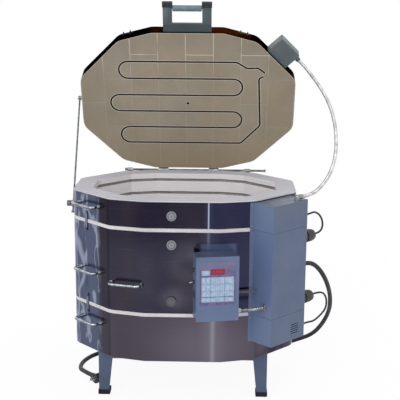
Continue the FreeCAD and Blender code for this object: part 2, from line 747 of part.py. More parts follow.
def brace():
    centre = swivel_centre()
    along = (centre - PIVOT_OPEN).normalize()
    length = (centre - PIVOT_OPEN).Length + size("brace_tail")
    radius, gap = size("brace_rod_radius"), size("brace_clearance")
    eye = Part.makeCylinder(10, 6, PIVOT_OPEN - Vector(3, 0, 0), Vector(1, 0, 0))
    rod = Part.makeCylinder(radius, length, PIVOT_OPEN, along)
    hole = Part.makeCylinder(4 + gap, 8, PIVOT_OPEN - Vector(4, 0, 0), Vector(1, 0, 0))
    stop = Part.makeCylinder(radius + 3, 6, PIVOT_OPEN + along * (length - 6), along)
    part("brace_rod", feature("brace_rod_body", eye.fuse([rod, stop]).cut(hole).removeSplitter()))
    band = END_FACE - size("lid_overhang")
    bolt = Part.makeCylinder(4, band - BRACE_X + 8, Vector(BRACE_X - 8, PIVOT_SHUT.y, PIVOT_SHUT.z),
                             Vector(1, 0, 0))
    collar = Part.makeCylinder(8, band - BRACE_X - radius - 0.6, Vector(BRACE_X + radius + 0.6, PIVOT_SHUT.y,
                                                                        PIVOT_SHUT.z), Vector(1, 0, 0))
    head = Part.makeCylinder(7, 4, Vector(BRACE_X - 8, PIVOT_SHUT.y, PIVOT_SHUT.z), Vector(1, 0, 0))
    lid_part("lid_brackets", Part.makeCompound(LEAVES + [bolt.fuse([collar, head]).removeSplitter()]))
    x0, x1 = BRACE_X - 10, END_FACE - 3.5
    body = Part.makeCylinder(size("swivel_radius"), x1 - x0, Vector(x0, centre.y, centre.z), Vector(1, 0, 0))
    body = body.makeChamfer(1.5, [e for e in body.Edges if abs(e.CenterOfMass.x - x0) < 0.1])
    rod_hole = Part.makeCylinder(radius + gap, 60, centre - along * 30, along)
    socket = Part.makeCylinder(5 + gap, 7, Vector(x1 - 6, centre.y, centre.z), Vector(1, 0, 0))
    screw_hole = Part.makeCylinder(3 + gap, 6, Vector(x0 - 1, centre.y, centre.z), Vector(1, 0, 0))
    part("brace_swivel", feature("swivel_body", body.cut([rod_hole, socket, screw_hole])))
    plate = Part.makeBox(3, 60, size("brace_drop") + 14, Vector(END_FACE - 3, centre.y - 30, centre.z - 18))
    plate = plate.makeFillet(8, [e for e in plate.Edges if abs(e.Length - 3) < 0.1])
    pin = Part.makeCylinder(5, 5 + 3, Vector(x1 - 5, centre.y, centre.z), Vector(1, 0, 0))
    part("brace_bracket", feature("brace_plate", plate.fuse(pin)))
    knob = Part.makeCylinder(size("knob_radius"), size("knob_length"),
                             Vector(x0 - 1 - size("knob_length"), centre.y, centre.z), Vector(1, 0, 0))
    for k in range(6):
        angle = math.radians(60 * k)
        reach = size("knob_radius") + 3
        groove = Part.makeCylinder(4.5, 40, Vector(x0 - 30, centre.y + reach * math.cos(angle),
                                                   centre.z + reach * math.sin(angle)), Vector(1, 0, 0))
        knob = knob.cut(groove)
    screw = Part.makeCylinder(3, 5.5, Vector(x0 - 1, centre.y, centre.z), Vector(1, 0, 0))
    part("brace_knob", feature("knob_body", knob.fuse(screw).removeSplitter()))


brace()


# Chromed lifting handles: a bent rod on two pads, one on the front shoulder and one to each ring at the left

def pull_handle(place):
    half = size("handle_length") / 2 - size("handle_pad")
    stand, rod, pad = size("handle_stand"), size("handle_rod"), size("handle_pad")
    bend = 16
    start, end = Vector(-half, 8, 0), Vector(half, 8, 0)
    a1, a2 = Vector(-half, -stand + bend, 0), Vector(-half + bend, -stand, 0)
    b1, b2 = Vector(half - bend, -stand, 0), Vector(half, -stand + bend, 0)
    nick = bend * (1 - math.sqrt(0.5))
    path = Part.Wire([
        Part.makeLine(start, a1), Part.Arc(a1, Vector(-half + nick, -stand + nick, 0), a2).toShape(),
        Part.makeLine(a2, b1), Part.Arc(b1, Vector(half - nick, -stand + nick, 0), b2).toShape(),
        Part.makeLine(b2, end)])
    made = pipe(path, rod)
    for x in (-half, half):
        made = made.fuse(Part.makeCone(pad, rod + 2, 22, Vector(x, 12, 0), Vector(0, -1, 0)))
        made = made.fuse(Part.makeCylinder(pad, 6, Vector(x, 14 - 2, 0), Vector(0, -1, 0)))
    made.Placement = place
    return made.cut(ENVELOPE)


def handles():
    place = facet_place(FRONT_LEFT, RIM - 333)
    part("front_handle", feature("front_pull", pull_handle(place)))
    made = []
    for z in (RIM - 45, RIM - 313, RIM - 525):
        spot = facet_place(LEFT_FRONT, z).multiply(Placement(Vector(-10, 0, 0), Rotation()))
        made.append(pull_handle(spot))
    part("end_handles", feature("end_pull_set", Part.makeCompound(made)))
    straps = []
    for z in JOINTS:
        place = facet_place(LEFT_FRONT, z)
        strap = Part.makeBox(14, 3, 84, Vector(-36, -3, -42))
        strap = strap.makeFillet(6, [e for e in strap.Edges if abs(e.Length - 3) < 0.1])
        heads = [Part.makeCylinder(4.5, 3, Vector(-29, -3, dz), Vector(0, -1, 0)) for dz in (-33, 33)]
        strap = strap.fuse(heads)
        strap.Placement = place
        straps.append(strap)
    part("ring_straps", feature("strap_set", Part.makeCompound(straps)))


handles()


# Electric boxes: one folded steel box to each ring, stacked on the right front corner

BOX_CENTRE = (size("box_left") + size("box_right")) / 2
BOX_WIDTH = size("box_right") - size("box_left")
BOX_LEVELS = {
    "top_electric_box": (JOINTS[0] + size("box_gap"), RIM - size("box_top_drop")),
    "middle_electric_box": (JOINTS[1] + size("box_gap"), JOINTS[0] - size("box_gap")),
    "bottom_electric_box": (RIM - size("box_bottom_drop"), JOINTS[1] - size("box_gap")),
}


def box_place(z=0.0):
    return facet_place(RIGHT_FRONT, z).multiply(Placement(Vector(BOX_CENTRE, 0, 0), Rotation()))


def electric_boxes():
    wall, reach = size("box_sheet"), 40
    skin = Part.makeCompound([])
    outer = prism("flange_outer", outline("flange_line", "-box_sheet"), "0", "10")
    doc.recompute()
    flange_face = Part.Face(Part.Wire(outer.Base.Shape.Edges))
    for node, (low, high) in BOX_LEVELS.items():
        height = high - low
        case = sheet_box(BOX_WIDTH, size("box_depth") + reach, height, wall, size("box_fold"))
        case.translate(Vector(0, reach, 0))
        case.Placement = box_place(low).multiply(case.Placement)
        strip = moved(flange_face, 0, 0, low).extrude(Vector(0, 0, height))
        regions = []
        for x, w in ((-BOX_WIDTH / 2 - size("flange"), size("flange") + wall),
                     (BOX_WIDTH / 2 - wall, size("flange") + wall)):
            region = Part.makeBox(w, 90, height, Vector(x, -20, 0))
            region.Placement = box_place(low)
            regions.append(strip.common(region))
        case = case.fuse(regions).cut(ENVELOPE)
        if node == "bottom_electric_box":
            case = case.cut(vents(low))
        case = max(case.Solids, key=lambda s: s.Volume)
        part(node, feature(node + "_body", case.removeSplitter()))
    return skin


def vents(low):
    slots = []
    for k in range(5):
        slot = Part.makeBox(46, 20, 3.2, Vector(16, -size("box_depth") - 10, 26 + 9 * k))
        slot.Placement = box_place(low)
        slots.append(slot)
    return slots


electric_boxes()


def inside_boxes():
    """Power relays, screwed to the left wall of each box."""
    relays = []
    for low, high in BOX_LEVELS.values():
        z = (low + high) / 2
        left = -BOX_WIDTH / 2 + size("box_sheet")
        relay = Part.makeBox(34, 42, 50, Vector(left, -78, -25))
        relay = relay.fuse([Part.makeBox(6, 3, 8, Vector(left + 34, -78 + y, -4)) for y in (8, 30)])
        relay.Placement = box_place(z)
        relays.append(relay)
    part("relays", feature("relay_set", Part.makeCompound(relays)))


inside_boxes()


# Sockets, jumper plugs and glands on the right wall of the boxes

SIDE_OUT = -70
SOCKETS = {"upper": RIM - 166, "lower": RIM - 420}
GLANDS = {"top": (RIM - 78, 8, -70), "bottom": (RIM - 534, 8, -70), "main": (RIM - 284, 18.6, -58)}


def side_place(z, out=SIDE_OUT):
    """Frame on the boxes' right wall: x straight out of the wall."""
    return box_place(z).multiply(Placement(Vector(BOX_WIDTH / 2, out, 0), Rotation()))


def side_fittings():
    sockets, jumper_plugs, glands = [], [], []
    radius = size("plug_diameter") / 2
    for z in SOCKETS.values():
        place = side_place(z)
        flange = Part.makeCylinder(radius + 2, 6, Vector(), Vector(1, 0, 0))
        rim = Part.makeCylinder(radius - 3, 18, Vector(), Vector(1, 0, 0))
        socket = flange.fuse(rim).removeSplitter()
        socket.Placement = place
        sockets.append(socket)
        x = 18.3
        profile = [(0, 0), (radius, 0), (radius, 30), (radius - 3, 44), (12, 56), (7, size("plug_length")), (0, size("plug_length"))]
        wire = Part.makePolygon([Vector(x + a, r, 0) for r, a in profile + profile[:1]])
        body = Part.Face(wire).revolve(Vector(), Vector(1, 0, 0), 360)
        body.Placement = place
        jumper_plugs.append(body)
    for z, cord, out in GLANDS.values():
        base = Part.makeCylinder(cord / 2 + 7, 6, Vector(), Vector(1, 0, 0))
        cone = Part.makeCone(cord / 2 + 5, cord / 2 + 2, 20, Vector(6, 0, 0), Vector(1, 0, 0))
        gland = base.fuse(cone).cut(Part.makeCylinder(cord / 2 + 0.3, 27, Vector(20, 0, 0), Vector(1, 0, 0)))
        gland.Placement = side_place(z, out)
        glands.append(gland.removeSplitter())
    part("receptacles", feature("socket_set", Part.makeCompound(sockets)))
    part("jumper_plugs", feature("jumper_plug_set", Part.makeCompound(jumper_plugs)))
    return glands


GLAND_SOLIDS = side_fittings()


# Cords and conduits: straight runs joined by tangent arcs

def cord(points, radius):
    pen, edges, radii = points[0], [], []
    for k in range(1, len(points) - 1):
        a, b, c = points[k - 1], points[k], points[k + 1]
        before, after = (a - b), (c - b)
        run = min(before.Length, after.Length)
        turn = math.pi - before.getAngle(after)
        u, v = before.normalize(), after.normalize()
        tangent = 0.45 * run
        bend = tangent / math.tan(turn / 2)
        start, finish = b + u * tangent, b + v * tangent
        bisector = (u + v).normalize()
        middle = b + bisector * (bend / math.cos(turn / 2) - bend)
        edges.append(Part.makeLine(pen, start))
        edges.append(Part.Arc(start, middle, finish).toShape())
        radii.append(round(bend))
        pen = finish
    edges.append(Part.makeLine(pen, points[-1]))
    path = Part.Wire(edges)
    print("bend radii", radii, "length", round(path.Length))
    tube = pipe(path, radius)
    expected = math.pi * radius * radius * path.Length
    print("volume ratio", round(tube.Volume / expected, 4))
    return tube


def side_point(x, out, z):
    return box_place(0).multVec(Vector(BOX_WIDTH / 2 + x, -out, z))


def side_route(points, out, z):
    """A route in the upright plane that stands off the boxes' right wall by out."""
    return [side_point(x, out, z + dz) for x, dz in points]


def top_jumper():
    reach, drop = 18.3 + size("plug_length"), SOCKETS["upper"] - GLANDS["top"][0]
    points = [(20, 0), (44, 0), (72, 4), (102, -8), (125, -33), (133, -62), (118, drop), (reach, drop)]
    return side_route(points, 70, GLANDS["top"][0])


def bottom_jumper():
    reach, drop = 18.3 + size("plug_length"), GLANDS["bottom"][0] - SOCKETS["lower"]
    points = [(reach, 0), (118, 0), (156, -12), (177, -44), (174, -82), (140, drop + 10), (94, drop - 6),
              (54, drop), (20, drop)]
    return side_route(points, 70, SOCKETS["lower"])


MAIN_END = Vector(-392, -72, 20.3)


def main_route():
    z, out, floor = GLANDS["main"][0], -GLANDS["main"][2], size("main_cord") / 2 + 0.1
    return [side_point(20, out, z), side_point(58, out, z), side_point(98, out + 8, z - 16),
            Vector(569, -98, z - 62), Vector(598, -46, z - 128), Vector(617, 14, z - 202),
            Vector(623, 88, z - 284), Vector(606, 170, z - 372), Vector(570, 246, z - 452),
            Vector(512, 312, 52), Vector(430, 352, floor), Vector(310, 372, floor),
            Vector(170, 358, floor), Vector(30, 338, floor), Vector(-108, 316, floor),
            Vector(-230, 288, floor), Vector(-340, 254, floor), Vector(-416, 192, floor),
            Vector(-456, 110, floor), Vector(-460, 36, floor), Vector(-440, -24, MAIN_END.z), MAIN_END]


def conduit_route():
    place = OPEN_LID.multiply(LID_BOX_PLACE)
    start = place.multVec(LID_EXIT + Vector(20, 0, 0))
    second = place.multVec(LID_EXIT + Vector(60, 0, 0))
    end, way = elbow_end()
    return [start, second, Vector(530, 166, RIM + 428), Vector(566, 134, RIM + 378),
            Vector(594, 92, RIM + 322), Vector(610, 46, RIM + 262), Vector(614, -6, RIM + 196),
            Vector(606, -60, RIM + 134), Vector(586, -106, RIM + 84), Vector(556, -145, RIM + 44),
            end + way * 74 + Vector(0, 0, 11), end + way * 30, end]


def side_top():
    """Where the lid's conduit meets the top of the uppermost electric box."""
    return box_place(BOX_LEVELS["top_electric_box"][1]).multVec(Vector(57, -78, 0))


def elbow_end():
    """The mouth of the angle fitting there, and the way it faces."""
    way = Vector(0.8, 0.6, 0)
    return side_top() + Vector(0, 0, size("elbow_rise")) + way * 24, way


def cords():
    part("top_jumper_cord", feature("top_jumper_tube", cord(top_jumper(), size("jumper_cord") / 2)))
    part("bottom_jumper_cord", feature("bottom_jumper_tube", cord(bottom_jumper(), size("jumper_cord") / 2)))
    part("main_cord", feature("main_tube", cord(main_route(), size("main_cord") / 2)))
    part("lid_conduit", feature("lid_tube", cord(conduit_route(), size("lid_conduit_size") / 2)))


cords()


# Mains plug on the floor behind the left front leg

def main_plug():
    route = main_route()
    along = (route[-1] - route[-2])
    flat = Vector(along.x, along.y, 0).normalize()
    turn = Rotation(Vector(1, 0, 0), flat)
    profile = [(0, 0), (11, 0), (12.5, 22), (14, 26), (14, 40), (0, 40)]
    wire = Part.makePolygon([Vector(a, r, 0) for r, a in profile + profile[:1]])
    neck = Part.Face(wire).revolve(Vector(), Vector(1, 0, 0), 360)
    head = Part.makeCylinder(20, 30, Vector(40, 14, 0), Vector(0, -1, 0))
    head = head.makeChamfer(3, [e for e in head.Edges if abs(e.CenterOfMass.y - 14) < 0.1])
    blades = [Part.makeBox(1.6, 22, 7, Vector(x, -38, -3.5)) for x in (33.5, 44.9)]
    blades.append(Part.makeCylinder(2.4, 24, Vector(40, -16, 9), Vector(0, -1, 0)))
    made = neck.fuse([head] + blades).removeSplitter()
    made.Placement = Placement(MAIN_END, turn)
    part("main_plug", feature("plug_body", made))


main_plug()


# Controller: a folded box on stand-off brackets, a front panel, a membrane overlay and a red window

def control_place(drop=0.0):
    turn = Rotation(Vector(0, 0, 1), size("control_turn"))
    return Placement(Vector(size("control_x"), -size("half_width") - size("control_gap"), RIM - size("control_drop") - drop), turn)


def control_feature(node, shape, drop=0.0):
    return part(node, feature(node + "_body", shape, control_place(drop)))


SIDE_X = -size("control_width") / 2
SWITCHES = {"fuse": (59, 16), "toggle": (106, 38), "rocker": (155, 38)}


def controller():
    width, height, depth = size("control_width"), size("control_height"), size("control_depth")
    wall, fold, panel = size("box_sheet"), size("control_fold"), size("panel_sheet")
    shell = Part.makeBox(width, depth - panel, height, Vector(-width / 2, panel, -height))
    upright = [e for e in shell.Edges if abs(abs(e.CenterOfMass.x) - width / 2) < 0.1 and e.Length > height - 1
               and e.CenterOfMass.y > depth / 2]
    shell = shell.makeFillet(fold, upright)
    hollow = Part.makeBox(width - 2 * wall, depth - panel - wall, height - 2 * wall,
                          Vector(-width / 2 + wall, panel, -height + wall))
    openings = []
    for name, (drop, y) in SWITCHES.items():
        y = depth / 2
        if name == "rocker":
            openings.append(Part.makeBox(20, 13, 20, Vector(SIDE_X - 10, y - 6.5, -drop - 10)))
        else:
            openings.append(Part.makeCylinder(6.2, 20, Vector(SIDE_X - 10, y, -drop), Vector(1, 0, 0)))
    control_feature("controller_box", shell.cut([hollow] + openings))
    face = Part.makeBox(width, panel, height, Vector(-width / 2, 0, -height))
    hole = Part.makeBox(size("window_width") - 4, panel + 2, size("window_height") - 4,
                        Vector(-size("window_width") / 2 + 2, -1, -size("window_drop") - size("window_height") + 2))
    control_feature("controller_panel", face.cut(hole))
    ow, oh, ot = size("overlay_width"), size("overlay_height"), size("overlay_sheet")
    overlay = Part.makeBox(ow, ot, oh, Vector(-ow / 2, -ot, -size("overlay_drop") - oh))
    overlay = overlay.makeFillet(4, [e for e in overlay.Edges if abs(e.Length - ot) < 0.01])
    lens_gap = Part.makeBox(size("window_width"), ot + 2, size("window_height"),
                            Vector(-size("window_width") / 2, -ot - 1, -size("window_drop") - size("window_height")))
    control_feature("keypad_overlay", overlay.cut(lens_gap))
    w, h = size("window_width") - 0.4, size("window_height") - 0.4
    lens = Part.makeBox(w, ot, h, Vector(-w / 2, -ot, -size("window_drop") - h - 0.2))
    lens = lens.fuse(Part.makeBox(w - 5, 9, h - 5, Vector(-w / 2 + 2.5, -ot, -size("window_drop") - h + 2.3)))
    control_feature("display_window", lens)
    board = Part.makeBox(width - 30, 1.6, 150, Vector(-width / 2 + 15, 20, -size("overlay_drop") - 160))
    posts = [Part.makeCylinder(3, 20 - panel, Vector(x, panel, z), Vector(0, 1, 0))
             for x in (-width / 2 + 22, width / 2 - 22) for z in (-30, -168)]
    control_feature("controller_board", board.fuse(posts))


controller()


def switches():
    """A fuse holder, a toggle and a rocker on the left wall, their fixed bodies as one set."""
    y = size("control_depth") / 2
    drop = SWITCHES["fuse"][0]
    fuse_body = Part.makeCylinder(6, 34, Vector(SIDE_X - 1, y, -drop), Vector(1, 0, 0))
    fuse_body = fuse_body.fuse(Part.makeCylinder(9, 9, Vector(SIDE_X - 9, y, -drop), Vector(1, 0, 0)))
    drop = SWITCHES["toggle"][0]
    bush = Part.makeCylinder(6, 14, Vector(SIDE_X - 8, y, -drop), Vector(1, 0, 0))
    nut = Part.makeCylinder(8.5, 2.5, Vector(SIDE_X - 2.5, y, -drop), Vector(1, 0, 0))
    case = Part.makeBox(22, 14, 26, Vector(SIDE_X + size("box_sheet"), y - 7, -drop - 13))
    bore = Part.makeCone(4.6, 3.8, 8.2, Vector(SIDE_X - 8.1, y, -drop), Vector(1, 0, 0))
    toggle_body = bush.fuse([nut, case]).cut(bore)
    pivot = Vector(SIDE_X - 3, y, -drop)
    lever = Part.makeCone(1.8, 2.8, 15, Vector(), Vector(-1, 0, 0))
    lever = lever.fuse([Part.makeSphere(2.9), Part.makeSphere(2.9, Vector(-15, 0, 0))])
    lever.Placement = Placement(pivot, Rotation(Vector(0, 1, 0), -size("toggle_throw") / 2))
    control_feature("toggle_lever", lever)
    drop = SWITCHES["rocker"][0]
    pivot = Vector(SIDE_X, y, -drop)
    frame = Part.makeBox(3, 17, 26, pivot + Vector(-3, -8.5, -13))
    well = Part.makeBox(24, 12.6, 19.6, pivot + Vector(-3, -6.3, -9.8))
    cavity = Part.makeBox(12, 10, 16.2, pivot + Vector(-4, -5, -8.1))
    housings = [fuse_body, toggle_body, frame.fuse(well).cut(cavity)]
    control_feature("switch_housings", Part.makeCompound(housings))
    points = [Vector(x, -4.7, z) for x, z in ((-3, 7.4), (-1.2, 0), (-3, -7.4), (3.2, -6.2), (3.2, 6.2))]
    rocker = Part.Face(Part.makePolygon(points + points[:1])).extrude(Vector(0, 9.4, 0))
    rocker.Placement = Placement(pivot, Rotation(Vector(0, 1, 0), size("rocker_throw") / 2))
    control_feature("rocker", rocker)


switches()


def control_mount():
    """Two stand-off pads trimmed to the jacket, and a strap across to the electric box."""
    depth, width = size("control_depth"), size("control_width")
    made = []
    for drop in (30, size("control_height") - 45):
        pad = Part.makeBox(90, size("control_gap") - depth + 68, 14, Vector(-45, depth, -drop - 14))
        pad.Placement = control_place()
        solids = pad.cut(ENVELOPE).Solids
        made.append(min(solids, key=lambda s: s.CenterOfMass.y))
    arm = Part.makeBox(130, 3, 8, Vector(width / 2, depth - 8, -170))
    arm.Placement = control_place()
    limit = Part.makeBox(BOX_WIDTH + 400, 700, 400, Vector(-BOX_WIDTH / 2, -350, -200))
    limit.Placement = box_place(RIM - 360)
    arm = arm.cut([limit, ENVELOPE])
    made.append(min(arm.Solids, key=lambda s: s.CenterOfMass.x))
    part("controller_brackets", feature("bracket_set", Part.makeCompound(made)))


control_mount()


def fitting(spot, way):
    """A lock nut and a short ferrule on a wall."""
    nut = Part.makeCylinder(12, 6, spot, way)
    return nut.fuse(Part.makeCylinder(9.5, 13, spot, way)).removeSplitter()


def control_conduit():
    place = control_place()
    start = place.multVec(Vector(size("control_width") / 2, 22, -222))
    wall_spot = box_place(start.z)
    end = wall_spot.multVec(Vector(-BOX_WIDTH / 2, -60, 0))
    way = place.Rotation.multVec(Vector(1, 0, 0))
    back = wall_spot.Rotation.multVec(Vector(-1, 0, 0))
    a, b = start + way * 13, end + back * 13
    # the bend lies where the two straight ends meet
    reach = ((b - a).x * back.y - (b - a).y * back.x) / (way.x * back.y - way.y * back.x)
    route = [a, a + way * reach, b]
    low, (mouth, out) = side_top(), elbow_end()
    knee = low + Vector(0, 0, size("elbow_rise"))
    stub = Part.makeCylinder(13, 5, low).fuse([Part.makeCylinder(10, size("elbow_rise"), low),
                                               Part.makeSphere(10, knee), Part.makeCylinder(9.5, 24, knee, out)])
    fittings = [fitting(start, way), fitting(end, back), stub.removeSplitter()]
    part("cord_fittings", feature("fitting_set", Part.makeCompound(GLAND_SOLIDS + fittings)))
    part("controller_conduit", feature("controller_tube", cord(route, size("control_conduit_size") / 2)))


control_conduit()


# Screws of the electric boxes, the controller panel and the hinge leaves, as one set

def screw_head(place, radius=4.2, tall=2.4):
    head = Part.makeCylinder(radius, tall, Vector(0, 0, 0), Vector(0, -1, 0))
    head = head.makeChamfer(0.8, [e for e in head.Edges if abs(e.CenterOfMass.y + tall) < 0.05])
    head.Placement = place
    return head


def screws():
    heads = []
    width, height = size("control_width"), size("control_height")
    for x in (-width / 2 + 7, width / 2 - 7):
        for z in (-7, -height + 7):
            heads.append(screw_head(control_place().multiply(Placement(Vector(x, 0, z), Rotation())), 3.4, 2))
    sheet_out = size("box_sheet")
    for low, high in BOX_LEVELS.values():
        for z in (low + 12, high - 12):
            place = facet_place(FRONT_RIGHT, z, sheet_out)
            heads.append(screw_head(place.multiply(Placement(Vector(facet_length(FRONT_RIGHT) / 2 - 19, 0, 0),
                                                             Rotation()))))
            place = box_place(z).multiply(Placement(Vector(BOX_WIDTH / 2 + 10, -sheet_out, 0), Rotation()))
            heads.append(screw_head(place))
    part("screws", feature("screw_set", Part.makeCompound(heads)))


screws()


# Check every object, then write one file to each node

doc.recompute()
for obj in doc.Objects:
    if "Invalid" in obj.State or "Error" in obj.State:
        raise RuntimeError("failed object: " + obj.Name)
for obj in PARTS:
    shape = obj.Shape
    if shape.isNull() or not shape.isValid() or not shape.Solids:
        raise RuntimeError("bad shape: " + obj.Label)
for obj in PARTS:
    obj.Shape.exportStep(os.path.join("parts", obj.Label + ".step"))
print(len(PARTS), "nodes,", sum(len(p.Shape.Solids) for p in PARTS), "solids")
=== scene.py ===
import json
import math

import bmesh
import bpy
from mathutils import Matrix, Vector

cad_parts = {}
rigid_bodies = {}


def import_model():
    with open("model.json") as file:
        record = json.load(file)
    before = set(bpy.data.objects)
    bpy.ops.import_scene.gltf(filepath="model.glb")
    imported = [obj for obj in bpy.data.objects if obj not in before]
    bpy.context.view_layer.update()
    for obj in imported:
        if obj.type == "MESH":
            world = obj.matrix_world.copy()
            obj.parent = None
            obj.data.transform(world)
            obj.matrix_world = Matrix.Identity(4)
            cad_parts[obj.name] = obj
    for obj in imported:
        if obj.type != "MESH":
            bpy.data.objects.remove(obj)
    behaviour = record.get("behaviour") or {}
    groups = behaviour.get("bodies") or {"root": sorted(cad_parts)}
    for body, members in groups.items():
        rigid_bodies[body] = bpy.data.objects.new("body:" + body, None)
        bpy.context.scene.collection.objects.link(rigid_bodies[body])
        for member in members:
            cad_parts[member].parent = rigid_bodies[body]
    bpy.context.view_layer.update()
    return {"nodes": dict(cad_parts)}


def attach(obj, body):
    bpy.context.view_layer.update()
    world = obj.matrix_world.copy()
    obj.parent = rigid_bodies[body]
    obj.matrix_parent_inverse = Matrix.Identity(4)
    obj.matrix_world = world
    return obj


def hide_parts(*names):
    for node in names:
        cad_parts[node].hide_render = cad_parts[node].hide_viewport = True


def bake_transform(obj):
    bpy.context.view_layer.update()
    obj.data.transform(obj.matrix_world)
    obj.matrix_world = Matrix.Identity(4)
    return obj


for stray in list(bpy.data.objects):
    bpy.data.objects.remove(stray)
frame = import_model()
nodes = frame["nodes"]


# The room: a pale floor that runs out of view, a plain white surround, soft light from the front and above,
# and the camera at the photograph's height, a little right of the middle.

CAMERA_SPOT = (0.1496, -3.8600, 1.6349)
CAMERA_PITCH, CAMERA_YAW, CAMERA_ROLL = (math.radians(a) for a in (-12.571, -1.331, 0.454))


def placed(name, data):
    """Puts a mesh, curve, lamp or camera into the scene."""
    made = bpy.data.objects.new(name, data)
    bpy.context.scene.collection.objects.link(made)
    return made


ahead = Vector((math.sin(CAMERA_YAW) * math.cos(CAMERA_PITCH), math.cos(CAMERA_YAW) * math.cos(CAMERA_PITCH),
                math.sin(CAMERA_PITCH)))
level = Vector((math.cos(CAMERA_YAW), -math.sin(CAMERA_YAW), 0))
upright = level.cross(ahead)
right = level * math.cos(CAMERA_ROLL) + upright * math.sin(CAMERA_ROLL)
up = upright * math.cos(CAMERA_ROLL) - level * math.sin(CAMERA_ROLL)
camera = placed("camera", bpy.data.cameras.new("camera"))
camera.data.lens = 85.81
camera.data.sensor_width = 36
camera.matrix_world = Matrix.Translation(CAMERA_SPOT) @ Matrix((right, up, -ahead)).transposed().to_4x4()
bpy.context.scene.camera = camera
bpy.context.scene.view_settings.view_transform = "Standard"

world = bpy.data.worlds.new("room")
world.use_nodes = True
bpy.context.scene.world = world
tree = world.node_tree
surround, output = tree.nodes["Background"], tree.nodes["World Output"]
surround.inputs["Color"].default_value = (0.98, 0.99, 1.0, 1)
surround.inputs["Strength"].default_value = 0.74
seen = tree.nodes.new("ShaderNodeBackground")
seen.inputs["Color"].default_value = (1, 1, 1, 1)
rays = tree.nodes.new("ShaderNodeLightPath")
shows = rays.outputs["Is Camera Ray"]
for kind in ("Is Glossy Ray", "Is Transmission Ray"):
    either = tree.nodes.new("ShaderNodeMath")
    either.operation = "MAXIMUM"
    tree.links.new(shows, either.inputs[0])
    tree.links.new(rays.outputs[kind], either.inputs[1])
    shows = either.outputs[0]
choose = tree.nodes.new("ShaderNodeMixShader")
tree.links.new(shows, choose.inputs["Fac"])
tree.links.new(surround.outputs[0], choose.inputs[1])
tree.links.new(seen.outputs[0], choose.inputs[2])
tree.links.new(choose.outputs[0], output.inputs["Surface"])


def lamp(name, strength, towards, softness):
    light = bpy.data.lights.new(name, "SUN")
    light.energy = strength
    light.angle = math.radians(softness)
    placed(name, light).rotation_euler = Vector(towards).to_track_quat("-Z", "Y").to_euler()


lamp("front_lamp", 0.85, (0.25, 0.8, -0.55), 35)
lamp("top_lamp", 0.35, (-0.2, 0.15, -1), 50)


def finished(name, bm):
    """The mesh that a bmesh has made, in the scene."""
    mesh = bpy.data.meshes.new(name)
    bm.to_mesh(mesh)
    bm.free()
    return placed(name, mesh)


bm = bmesh.new()
bmesh.ops.create_grid(bm, x_segments=1, y_segments=1, size=14)
floor = finished("floor", bm)
floor_paper = bpy.data.materials.new("floor_paper")
floor_paper.use_nodes = True
tree = floor_paper.node_tree
for key, value in (("Base Color", (1, 1, 1, 1)), ("Roughness", 0.9), ("Specular IOR Level", 0)):
    tree.nodes["Principled BSDF"].inputs[key].default_value = value
glow = tree.nodes.new("ShaderNodeEmission")
glow.inputs["Color"].default_value = (1, 1, 1, 1)
rays = tree.nodes.new("ShaderNodeLightPath")
share = tree.nodes.new("ShaderNodeMath")
share.operation = "MULTIPLY"
share.inputs[1].default_value = 0.93
choose = tree.nodes.new("ShaderNodeMixShader")
tree.links.new(rays.outputs["Is Camera Ray"], share.inputs[0])
tree.links.new(share.outputs[0], choose.inputs["Fac"])
tree.links.new(tree.nodes["Principled BSDF"].outputs[0], choose.inputs[1])
tree.links.new(glow.outputs[0], choose.inputs[2])
tree.links.new(choose.outputs[0], tree.nodes["Material Output"].inputs["Surface"])
floor.data.materials.append(floor_paper)


# Stand: an oval pan on an angle-iron frame and four folded tapering legs, all sprayed one dark blue-grey.
# The legs are bolted to the frame and stand in black moulded rubber feet.

STAND_DARK = (0.045, 0.068, 0.128)
STAND_LIGHT = (0.066, 0.096, 0.172)
CHIPPED = (0.20, 0.22, 0.25)


def grain_group():
    """Cloudy or streaky mask over a surface, from its place on the object."""
    group = bpy.data.node_groups.new("grain", "ShaderNodeTree")
    face = group.interface
    for name, value in (("Scale", 20), ("Detail", 4), ("Low", 0.35), ("High", 0.65)):
        face.new_socket(name=name, in_out="INPUT", socket_type="NodeSocketFloat").default_value = value
    face.new_socket(name="Stretch", in_out="INPUT", socket_type="NodeSocketVector").default_value = (1, 1, 1)
    face.new_socket(name="Mask", in_out="OUTPUT", socket_type="NodeSocketFloat")
    add, link = group.nodes.new, group.links.new
    into, out = add("NodeGroupInput"), add("NodeGroupOutput")
    place, mapping, noise, spread = (
        add("ShaderNode" + kind) for kind in ("TexCoord", "Mapping", "TexNoise", "MapRange"))
    link(place.outputs["Object"], mapping.inputs["Vector"])
    link(into.outputs["Stretch"], mapping.inputs["Scale"])
    link(mapping.outputs[0], noise.inputs["Vector"])
    link(into.outputs["Scale"], noise.inputs["Scale"])
    link(into.outputs["Detail"], noise.inputs["Detail"])
    link(noise.outputs["Fac"], spread.inputs["Value"])
    link(into.outputs["Low"], spread.inputs["From Min"])
    link(into.outputs["High"], spread.inputs["From Max"])
    link(spread.outputs["Result"], out.inputs["Mask"])
    return group


